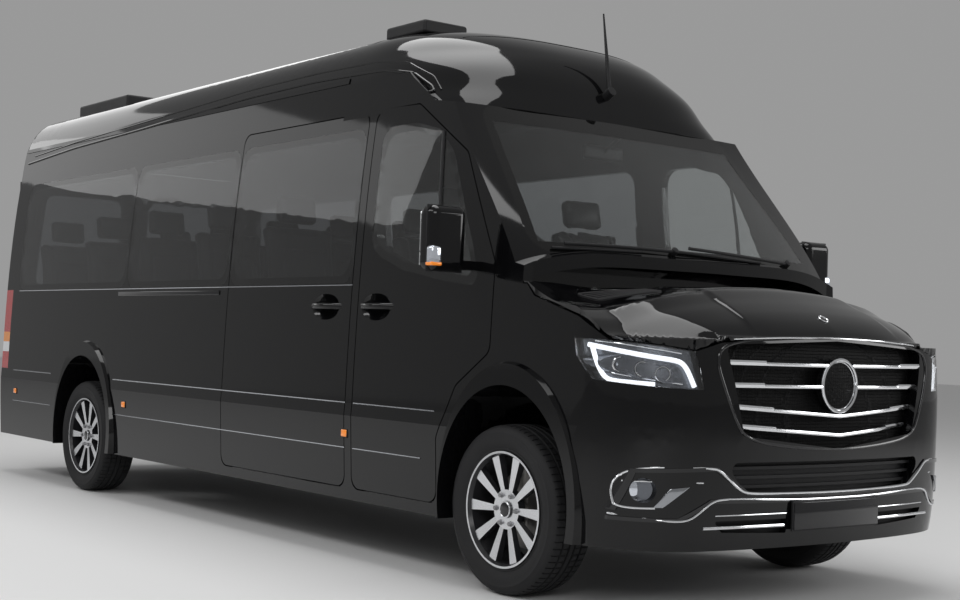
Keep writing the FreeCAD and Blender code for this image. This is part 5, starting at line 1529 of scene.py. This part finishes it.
@dataclass
class Wheels:
    """Treaded tyres, wheel bolts and plain caps on the four wheels."""

    front_x: float = 2.4625
    rear_x: float = -1.8625
    plane: float = 0.865
    height: float = 0.352
    columns: int = 144
    sipe_share: float = 0.62
    sipe: float = 0.0045
    bolt_circle: float = 0.065
    bolts: int = 6
    section: Table = (
        (0.233, 0.086), (0.242, 0.0925), (0.247, 0.0975), (0.251, 0.0980), (0.254, 0.0955), (0.266, 0.1025),
        (0.280, 0.1085), (0.297, 0.1115), (0.311, 0.1112), (0.313, 0.1122), (0.316, 0.1120), (0.318, 0.1100),
        (0.329, 0.1068), (0.338, 0.1010), (0.3445, 0.0930), (0.3485, 0.0830), (0.3500, 0.0740), (0.3510, 0.0560),
        (0.3440, 0.0545), (0.3440, 0.0465), (0.3515, 0.0450), (0.3520, 0.0200), (0.3440, 0.0185), (0.3440, 0.0105),
        (0.3520, 0.0090), (0.3520, 0.0),
    )
    liner: Table = ((0.336, 0.0), (0.336, 0.060), (0.322, 0.092), (0.285, 0.098),
                                              (0.240, 0.080))

    def outline(self) -> list[tuple[float, float]]:
        """Close the tyre's section.

        Returns:
            Its places as radius and distance from the wheel's plane.
        """
        outer, inner = list(self.section), list(self.liner)
        far = [(radius, -aside) for radius, aside in reversed(outer[:-1])]
        back = [(radius, -aside) for radius, aside in reversed(inner[1:])]
        return outer + far + back + inner

    def tread(self) -> None:
        """Sink the cross cuts into the shoulder and middle ribs."""
        bpy.ops.mesh.extrude_region_shrink_fatten(TRANSFORM_OT_shrink_fatten={"value": -self.sipe})

    def tyre(self) -> Piece:
        """Spin the tyre round the origin and cut its tread.

        Returns:
            The tyre.
        """
        outline = self.outline()
        bpy.ops.object.select_all(action="DESELECT")
        bpy.ops.mesh.primitive_circle_add(vertices=len(outline), radius=self.height)
        piece = Bench._taken("tyre")
        for vertex, (radius, aside) in zip(piece.data.vertices, outline):
            vertex.co = (0.0, aside, radius)
        Bench.edited(piece, self._spin)
        step = 2 * math.pi / self.columns
        for vertex in piece.data.vertices:
            column = round(math.atan2(vertex.co.x, vertex.co.z) / step)
            if column % 2:
                vertex.co = Matrix.Rotation(step * self.sipe_share, 3, "Y") @ vertex.co
        Bench.only(piece)
        bpy.ops.object.mode_set(mode="EDIT")
        bpy.ops.mesh.select_all(action="DESELECT")
        bpy.ops.mesh.select_mode(type="FACE")
        bpy.ops.object.mode_set(mode="OBJECT")
        for face in piece.data.polygons:
            middle = face.center
            reach = math.hypot(middle.x, middle.z)
            column = math.floor(math.atan2(middle.x, middle.z) / step)
            rib = 0.056 < abs(middle.y) < 0.097 or 0.021 < abs(middle.y) < 0.044
            face.select = reach > 0.343 and rib and column % 2 == 1 and abs(face.normal.y) < 0.8
        bpy.ops.object.mode_set(mode="EDIT")
        self.tread()
        bpy.ops.mesh.select_mode(type="VERT")
        bpy.ops.object.mode_set(mode="OBJECT")
        return piece

    def _spin(self) -> None:
        """Turn the section into the closed tyre."""
        bpy.ops.mesh.spin(steps=self.columns, angle=2 * math.pi, center=(0.0, 0.0, 0.0), axis=(0.0, 1.0, 0.0))
        bpy.ops.mesh.select_all(action="SELECT")
        bpy.ops.mesh.remove_doubles(threshold=0.00005)
        bpy.ops.mesh.normals_make_consistent(inside=False)

    def bolt(self) -> Piece:
        """Make one wheel bolt at the origin, its head towards +Y.

        Returns:
            The bolt.
        """
        head = Bench.drum("bolt_head", Vector((0.0, 0.006, 0.0)), LEFTWARD, 0.0098, 0.014, 0.0016, 6)
        collar = Bench.drum("bolt_collar", Vector((0.0, 0.0005, 0.0)), LEFTWARD, 0.0118, 0.004, 0.001, 32)
        return Bench.joined("bolt", [head, collar])

    def wheel(self, axle: Axle, side: Side, tyre: Piece, bolt: Piece) -> None:
        """Fit one wheel.

        Args:
            axle: Which axle.
            side: Which side.
            tyre: The tyre that is copied.
            bolt: The bolt that is copied.
        """
        word = f"{axle.value}_{side.word}"
        along = self.front_x if axle is Axle.FRONT else self.rear_x
        middle = Vector((along, self.plane * side.value, self.height))
        turn = Matrix.Rotation(0.0 if side is Side.LEFT else math.pi, 4, "Z")
        copy = Bench.copied(tyre, f"treaded_tyre_{word}", Matrix.Translation(middle) @ turn)
        Bench.done(copy, TYRE_RUBBER, f"wheel_{word}", 38.0)
        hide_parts(f"tyre_{word}")
        rim = Surface(f"rim_{word}")
        heads = []
        for index in range(self.bolts):
            angle = math.radians(360.0 / self.bolts * (index + 0.5))
            spot = rim.beside(side, along + self.bolt_circle * math.sin(angle),
                              self.height + self.bolt_circle * math.cos(angle))
            heads.append(Bench.copied(bolt, f"bolt_{index}", Matrix.Translation(spot) @ turn))
        Bench.done(Bench.joined(f"wheel_bolts_{word}", heads), BOLT_STEEL, f"wheel_{word}")
        crown = rim.beside(side, along, self.height)
        rims = [Bench.ring("cap_rim", crown, side.out(), 0.0315, 0.0022),
                Bench.ring("cap_step", crown, side.out(), 0.0220, 0.0012)]
        Bench.done(Bench.joined(f"cap_rings_{word}", rims), CHROME, f"wheel_{word}")
        cap = Bench.dome(f"plain_cap_{word}", crown - side.out() * 0.0006, side.out(), 0.0310, 0.0035)
        Bench.done(cap, GLOSS_PLASTIC, f"wheel_{word}")

    def build(self) -> None:
        """Fit all four wheels."""
        tyre = self.tyre()
        bolt = self.bolt()
        for axle in Axle:
            for side in Side:
                self.wheel(axle, side, tyre, bolt)
        for piece in (tyre, bolt):
            bpy.data.objects.remove(piece)


@dataclass
class Glazing:
    """Wipers and the door windows' bars."""

    wipers: tuple[Table, ...] = (
        ((0.62, 1.440), (0.30, 1.458), (-0.06, 1.470)),
        ((-0.16, 1.440), (-0.45, 1.456), (-0.74, 1.452)),
    )
    arm_proud: float = 0.022
    arm_wire: float = 0.0075
    blade_proud: float = 0.009
    blade_drop: float = 0.012
    blade_wire: float = 0.0065
    divider: Table = ((1.9215, 1.977), (1.9505, 1.700), (1.9795, 1.418))
    divider_wire: float = 0.009

    def wiper(self, skin: Surface, index: int, line: Table) -> None:
        """Lay one wiper on the windscreen.

        Args:
            skin: The windscreen.
            index: The wiper's number.
            line: Its pivot, elbow and blade middle as Y and Z.
        """
        spots = [skin.ahead(y, z, self.arm_proud) for y, z in line]
        arm = Bench.tube("arm", spots, self.arm_wire)
        pivot = Bench.drum("pivot", spots[0] - AHEAD * 0.004, Vector((0.75, 0.0, 0.66)), 0.017, 0.03, 0.004, 28)
        (y_near, z_near), (y_far, z_far) = line[1], line[2]
        run = []
        for step in range(7):
            share = step / 6 * 1.55 - 0.35
            level = z_near + (z_far - z_near) * share - self.blade_drop
            run.append(skin.ahead(y_near + (y_far - y_near) * share, level, self.blade_proud))
        blade = Bench.tube("blade", run, self.blade_wire)
        Bench.done(Bench.joined(f"wiper_{index}", [arm, pivot, blade]), MATT_PLASTIC, "body")

    def build(self) -> None:
        """Fit the wipers and the bars."""
        skin = Surface("windscreen")
        for index, line in enumerate(self.wipers):
            self.wiper(skin, index, line)
        for side in Side:
            pane = Surface(f"front_door_glass_{side.word}", f"front_door_{side.word}")
            run = [pane.beside(side, x, z, PROUD) for x, z in self.divider]
            bar = Bench.tube(f"window_divider_{side.word}", run, self.divider_wire, smooth=False)
            Bench.done(bar, MATT_PLASTIC, f"front_door_{side.word}")


@dataclass
class RearEnd:
    """Door handle, blank plate, hinges, high brake lamp and reflectors."""

    hinge_levels: tuple[float, ...] = (0.68, 1.44, 2.06)
    hinge_x: float = -3.3725
    hinge_y: float = 0.880
    barrel: float = 0.0085
    barrel_length: float = 0.075
    leaf: Place = (0.007, 0.085, 0.055)
    grip: tuple[Place, ...] = (
        (-0.006, 0.075, 0.012), (-0.024, 0.05, 0.014), (-0.026, -0.05, 0.014), (-0.006, -0.075, 0.012),
    )
    leaf_reach: float = 0.075
    leaf_proud: float = -0.002
    handle: tuple[float, float] = (-0.13, 1.10)
    plate: tuple[float, float] = (0.42, 1.03)
    lamp_level: float = 2.36
    reflector: tuple[float, float] = (0.74, 0.43)

    def hinges(self, side: Side) -> None:
        """Hang one door's hinges, which turn with the door.

        Args:
            side: Which side.
        """
        door = Surface(f"rear_door_{side.word}")
        parts = []
        for level in self.hinge_levels:
            pin = Vector((self.hinge_x, self.hinge_y * side.value, level))
            parts.append(Bench.drum("barrel", pin, UP, self.barrel, self.barrel_length, 0.002, 24))
            inner = door.behind(side.value * (self.hinge_y - self.leaf_reach), level, self.leaf_proud)
            middle = (pin + inner) / 2
            middle.x = inner.x
            parts.append(Bench.block("leaf", middle, self.leaf, 0.003))
        Bench.done(Bench.joined(f"rear_hinges_{side.word}", parts), MATT_PLASTIC, f"rear_door_{side.word}")

    def build(self) -> None:
        """Fit the rear end."""
        for side in Side:
            self.hinges(side)
            skin = Surface("rear_bumper")
            spot = skin.behind(self.reflector[0] * side.value, self.reflector[1], 0.001)
            reflector = Bench.block(f"rear_reflector_{side.word}", spot, (0.008, 0.11, 0.036), 0.003, 3)
            Bench.done(reflector, RED_COVER, "body")
        door = Surface("rear_door_right")
        y, z = self.handle
        spot = door.behind(y, z)
        seat = Bench.block("rear_handle_seat", spot, (0.008, 0.19, 0.085), 0.0035, 3)
        Bench.done(seat, GLOSS_PLASTIC, "rear_door_right")
        grip = Bench.tube("rear_handle", [spot + Vector(step) for step in self.grip], 0.0085)
        Bench.done(grip, CHROME, "rear_door_right")
        door = Surface("rear_door_left")
        y, z = self.plate
        spot = door.behind(y, z)
        seat = Bench.block("rear_plate_seat", spot, (0.012, 0.56, 0.15), 0.004, 3)
        Bench.done(seat, MATT_PLASTIC, "rear_door_left")
        plate = Bench.block("rear_blank_plate", spot - AHEAD * 0.006, (0.007, 0.52, 0.115), 0.002)
        Bench.done(plate, GLOSS_PLASTIC, "rear_door_left")
        bar = Bench.block("plate_light_bar", spot + Vector((-0.010, 0.0, 0.092)), (0.026, 0.36, 0.028), 0.007, 3)
        Bench.done(bar, GLOSS_PLASTIC, "rear_door_left")
        roof = Surface("roof_skin")
        spot = roof.behind(0.0, self.lamp_level, 0.001)
        Bench.done(Bench.block("high_brake_lamp", spot, (0.022, 0.34, 0.030), 0.006, 3), RED_COVER, "body")


@dataclass
class Roof:
    """Fan grilles on the roof unit."""

    fans: Table = ((-2.62, 0.30), (-2.62, -0.30))
    fan_radius: float = 0.17
    hoop_shares: tuple[float, ...] = (1.0, 0.78, 0.56, 0.34)
    hoop_wire: float = 0.004

    def build(self) -> None:
        """Fit the roof."""
        unit = Surface("roof_unit")
        for index, (x, y) in enumerate(self.fans):
            middle = unit.above(x, y, 0.001)
            rings = [Bench.ring("hoop", middle, UP, self.fan_radius * share, self.hoop_wire)
                     for share in self.hoop_shares]
            for step in range(6):
                angle = math.radians(30.0 + 60.0 * step)
                reach = Vector((math.cos(angle), math.sin(angle), 0.0)) * self.fan_radius
                rings.append(Bench.tube("rib", [middle + reach * 0.2, middle + reach], 0.0035, smooth=False))
            Bench.done(Bench.joined(f"fan_grille_{index}", rings), MATT_PLASTIC, "body")
            hub = Bench.dome(f"fan_hub_{index}", middle, UP, self.fan_radius * 0.24, 0.010)
            Bench.done(hub, MATT_PLASTIC, "body")


@dataclass
class Cab:
    """Binnacle, display and the inside mirror."""

    binnacle: Place = (2.075, 0.40, 1.385)
    display: Place = (2.010, 0.0, 1.375)
    mirror_level: float = 1.965

    def build(self) -> None:
        """Fit the cab."""
        hood = Bench.block("instrument_hood", Vector(self.binnacle), (0.16, 0.38, 0.105), 0.035, 4)
        Bench.done(hood, MATT_PLASTIC, "body")
        spot = Vector(self.binnacle) - AHEAD * 0.081
        face = Bench.block("instrument_face", spot, (0.004, 0.32, 0.06), 0.0018)
        Bench.done(face, SCREEN_FACE, "body")
        for index, part in enumerate((-0.085, 0.085)):
            spot = Vector(self.binnacle) + Vector((-0.084, part, 0.0))
            Bench.done(Bench.ring(f"dial_rim_{index}", spot, AHEAD, 0.028, 0.002), CHROME, "body")
        rim = Bench.block("centre_display_rim", Vector(self.display), (0.016, 0.28, 0.155), 0.006, 3)
        Bench.done(rim, GLOSS_PLASTIC, "body")
        spot = Vector(self.display) - AHEAD * 0.008
        Bench.done(Bench.block("centre_display", spot, (0.004, 0.262, 0.138), 0.0018), SCREEN_FACE, "body")
        skin = Surface("windscreen")
        top = skin.ahead(0.0, self.mirror_level + 0.06)
        mirror = Vector((top.x - 0.125, 0.0, self.mirror_level))
        parts = [Bench.block("mirror_shell", mirror, (0.032, 0.245, 0.068), 0.014, 4),
                 Bench.tube("mirror_foot", [top - AHEAD * 0.012, top - Vector((0.06, 0.0, 0.012)), mirror], 0.009)]
        Bench.done(Bench.joined("inside_mirror", parts), MATT_PLASTIC, "body")


@dataclass
class Seats:
    """Padded seats: a cushion and a back with sewn channels, and a head rest."""

    cab_x: float = 1.4625
    cab_y: float = 0.400
    row_x: float = 0.3025
    pitch: float = 0.800
    rows: int = 5
    places: tuple[float, ...] = (-0.658, 0.188, 0.658)
    base: float = 0.915
    width: float = 0.460
    depth: float = 0.440
    thickness: float = 0.110
    back: float = 0.640
    back_thickness: float = 0.100
    lean: float = math.radians(12.0)
    head: Place = (0.088, 0.255, 0.165)
    voxel: float = 0.017
    swell: float = 0.020
    frames: int = 20
    pressure: float = 4.0

    def stuffed(self, name: str, middle: Vector, size: Place, turn: float, cap: float) -> Piece:
        """Blow up a closed block of cloth until it is a pad.

        Args:
            name: The pad's name.
            middle: Its middle.
            size: Its sides before it swells.
            turn: How far it leans about Y.
            cap: The furthest that a point may move.

        Returns:
            The pad.
        """
        bpy.ops.object.select_all(action="DESELECT")
        bpy.ops.mesh.primitive_cube_add(size=1.0, location=middle, rotation=(0.0, turn, 0.0))
        pad = Bench.rounded(Bench._taken(name, size), min(size) * 0.30, 4)
        pad.data.remesh_voxel_size = self.voxel
        Bench.only(pad)
        bpy.ops.object.voxel_remesh()
        rest = [vertex.co.copy() for vertex in pad.data.vertices]
        cloth = pad.modifiers.new("stuffing", "CLOTH")
        cloth.settings.use_pressure = True
        cloth.settings.uniform_pressure_force = self.pressure
        cloth.settings.effector_weights.gravity = 0.0
        cloth.settings.tension_stiffness = 15.0
        cloth.point_cache.frame_start = 1
        cloth.point_cache.frame_end = self.frames
        for step in range(1, self.frames + 1):
            bpy.context.scene.frame_set(step)
        Bench.only(pad)
        bpy.ops.object.modifier_apply(modifier=cloth.name)
        bpy.context.scene.frame_set(1)
        for vertex, start in zip(pad.data.vertices, rest):
            moved = vertex.co - start
            if moved.length > cap:
                vertex.co = start + moved.normalized() * cap
        return pad

    def channelled(self, pad: Piece, middle: Vector, turn: float, half: float, rows: tuple[float, ...]) -> Piece:
        """Sew two long channels and some cross channels into a pad.

        Args:
            pad: The pad.
            middle: Its middle.
            turn: How far it leans about Y.
            half: Where its long channels run, to each side.
            rows: Where its cross channels run along it.

        Returns:
            The pad.
        """
        upright = Matrix.Rotation(-turn, 3, "Y")
        for vertex in pad.data.vertices:
            local = upright @ (vertex.co - middle)
            aside = min(abs(abs(local.y) - half), 1.0)
            sink = math.exp(-(aside / 0.009) ** 2)
            if abs(local.y) < half and rows:
                run = local.x if abs(turn) < 0.01 else local.z
                sink = max(sink, max(math.exp(-((run - row) / 0.009) ** 2) for row in rows) * 0.8)
            vertex.co -= vertex.normal * 0.0065 * sink
        return pad

    def seat(self) -> list[Piece]:
        """Make one seat with its reference point at the origin.

        Returns:
            Its pads.
        """
        top = self.base + self.thickness
        cushion_middle = Vector((self.depth / 2, 0.0, self.base + self.thickness / 2))
        size = (self.depth - 0.03, self.width - 0.03, self.thickness - 0.03)
        cushion = self.stuffed("cushion", cushion_middle, size, 0.0, self.swell)
        rise = Vector((-math.sin(self.lean), 0.0, math.cos(self.lean)))
        back_middle = Vector((0.045, 0.0, top)) + rise * self.back / 2
        back = self.stuffed("back", back_middle, (self.back_thickness - 0.026, self.width - 0.03, self.back - 0.02),
                            -self.lean, self.swell)
        head_middle = Vector((0.045, 0.0, top)) + rise * (self.back + 0.075)
        head = self.stuffed("head", head_middle, (self.head[0] - 0.02, self.head[1] - 0.02, self.head[2] - 0.02),
                            -self.lean, self.swell * 0.6)
        pads = [cushion, back, head]
        for pad in pads:
            Bench.only(pad)
            pad.modifiers.new("soft", "SUBSURF").levels = 1
            bpy.ops.object.modifier_apply(modifier="soft")
        self.channelled(cushion, cushion_middle, 0.0, self.width * 0.30, (-0.08, 0.06))
        self.channelled(back, back_middle, -self.lean, self.width * 0.29, (-0.16, 0.0, 0.16))
        return pads

    def build(self) -> None:
        """Fit every seat."""
        model = Bench.joined("seat_model", self.seat())
        parts = []
        for side in Side:
            move = Matrix.Translation((self.cab_x, self.cab_y * side.value, 0.0))
            parts.append(Bench.copied(model, f"cab_seat_{side.word}", move))
        for part in parts:
            Bench.done(part, SEAT_LEATHER, "body", 60.0)
        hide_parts("cab_seats")
        plain = Bench.only(model)
        thinner = plain.modifiers.new("thinner", "DECIMATE")
        thinner.ratio = 0.22
        bpy.ops.object.modifier_apply(modifier=thinner.name)
        for row in range(self.rows):
            seats = [Bench.copied(model, f"seat_{row}_{index}",
                                  Matrix.Translation((self.row_x - self.pitch * row, place, 0.0)))
                     for index, place in enumerate(self.places)]
            bench = Bench.joined(f"seat_row_{row + 1}", seats)
            Bench.done(bench, SEAT_LEATHER, "body", 60.0)
            if row == 0:
                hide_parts("passenger_seats")
        bpy.data.objects.remove(model)


@dataclass
class Studio:
    """The floor, the lamps and the camera."""

    eye: Place = (7.2265, -4.793, 1.050)
    yaw: float = math.radians(52.314)
    pitch: float = math.radians(1.544)
    roll: float = math.radians(1.835)
    lens: float = 55.31
    floor_size: float = 80.0
    floor_colour: Colour = (0.72, 0.72, 0.72)
    surround: Colour = (0.32, 0.32, 0.32)
    lamps: tuple[tuple[str, Place, Place, tuple[float, float], float], ...] = (
        ("side_strip", (-0.5, -6.5, 5.8), (-0.5, -1.0, 1.6), (10.0, 1.4), 190.0),
        ("nose_box", (9.0, -6.0, 4.4), (2.6, -0.4, 1.0), (5.0, 2.6), 190.0),
        ("far_box", (8.0, 6.5, 3.6), (2.6, 0.5, 1.0), (5.0, 3.0), 190.0),
        ("top_box", (0.0, 0.0, 8.5), (0.0, 0.0, 1.0), (9.0, 4.0), 400.0),
        ("tail_box", (-11.0, 1.0, 6.0), (-1.0, -0.8, 2.4), (9.0, 2.0), 75.0),
        ("tail_wall", (-12.0, -6.0, 5.0), (-1.0, -1.0, 1.7), (7.0, 2.2), 42.0),
    )

    def camera(self) -> None:
        """Stand the camera where the photograph was taken."""
        look = Vector((-math.sin(self.yaw) * math.cos(self.pitch), math.cos(self.yaw) * math.cos(self.pitch),
                       math.sin(self.pitch)))
        right = Vector((math.cos(self.yaw), math.sin(self.yaw), 0.0))
        up = right.cross(look)
        turned = right * math.cos(self.roll) + up * math.sin(self.roll)
        raised = up * math.cos(self.roll) - right * math.sin(self.roll)
        data = bpy.data.cameras.new("camera")
        data.lens = self.lens
        data.sensor_width = 36.0
        data.clip_end = 200.0
        seen = bpy.data.objects.new("camera", data)
        bpy.context.scene.collection.objects.link(seen)
        seen.matrix_world = Matrix.Translation(self.eye) @ Matrix((turned, raised, -look)).transposed().to_4x4()
        bpy.context.scene.camera = seen

    def floor(self) -> None:
        """Lay the pale floor."""
        bpy.ops.object.select_all(action="DESELECT")
        bpy.ops.mesh.primitive_plane_add(size=self.floor_size)
        ground = bpy.context.object
        ground.name = "studio_floor"
        paint = bpy.data.materials.new("studio_floor")
        paint.use_nodes = True
        shader = paint.node_tree.nodes["Principled BSDF"]
        shader.inputs["Base Color"].default_value = (*self.floor_colour, 1.0)
        shader.inputs["Roughness"].default_value = 0.8
        shader.inputs["Specular IOR Level"].default_value = 0.2
        ground.data.materials.append(paint)

    def light(self) -> None:
        """Hang the soft lamps and set the surround."""
        for name, place, aim, size, power in self.lamps:
            data = bpy.data.lights.new(name, "AREA")
            data.shape = "RECTANGLE"
            data.size, data.size_y = size
            data.energy = power
            lamp = bpy.data.objects.new(name, data)
            bpy.context.scene.collection.objects.link(lamp)
            lamp.location = place
            lamp.visible_camera = False
            lamp.rotation_euler = (Vector(aim) - Vector(place)).to_track_quat("-Z", "Y").to_euler()
        world = bpy.data.worlds.new("surround")
        world.use_nodes = True
        world.node_tree.nodes["Background"].inputs["Color"].default_value = (*self.surround, 1.0)
        world.node_tree.nodes["Background"].inputs["Strength"].default_value = 1.0
        bpy.context.scene.world = world

    def build(self) -> None:
        """Make the whole studio."""
        self.camera()
        self.floor()
        self.light()
        bpy.context.scene.view_settings.view_transform = "Standard"


def main() -> None:
    """Build every class in order and report each piece."""
    logging.basicConfig(level=logging.INFO)
    Dresser().build()
    parts = (RoofCap(), Bonnet(), Headlamps(), Nose(), SideTrim(), Mirrors(), Wheels(), Glazing(), RearEnd(),
             Roof(), Cab(), Seats(), Studio())
    for part in parts:
        LOG.info("building %s", type(part).__name__)
        part.build()


if __name__ == "__main__":
    main()
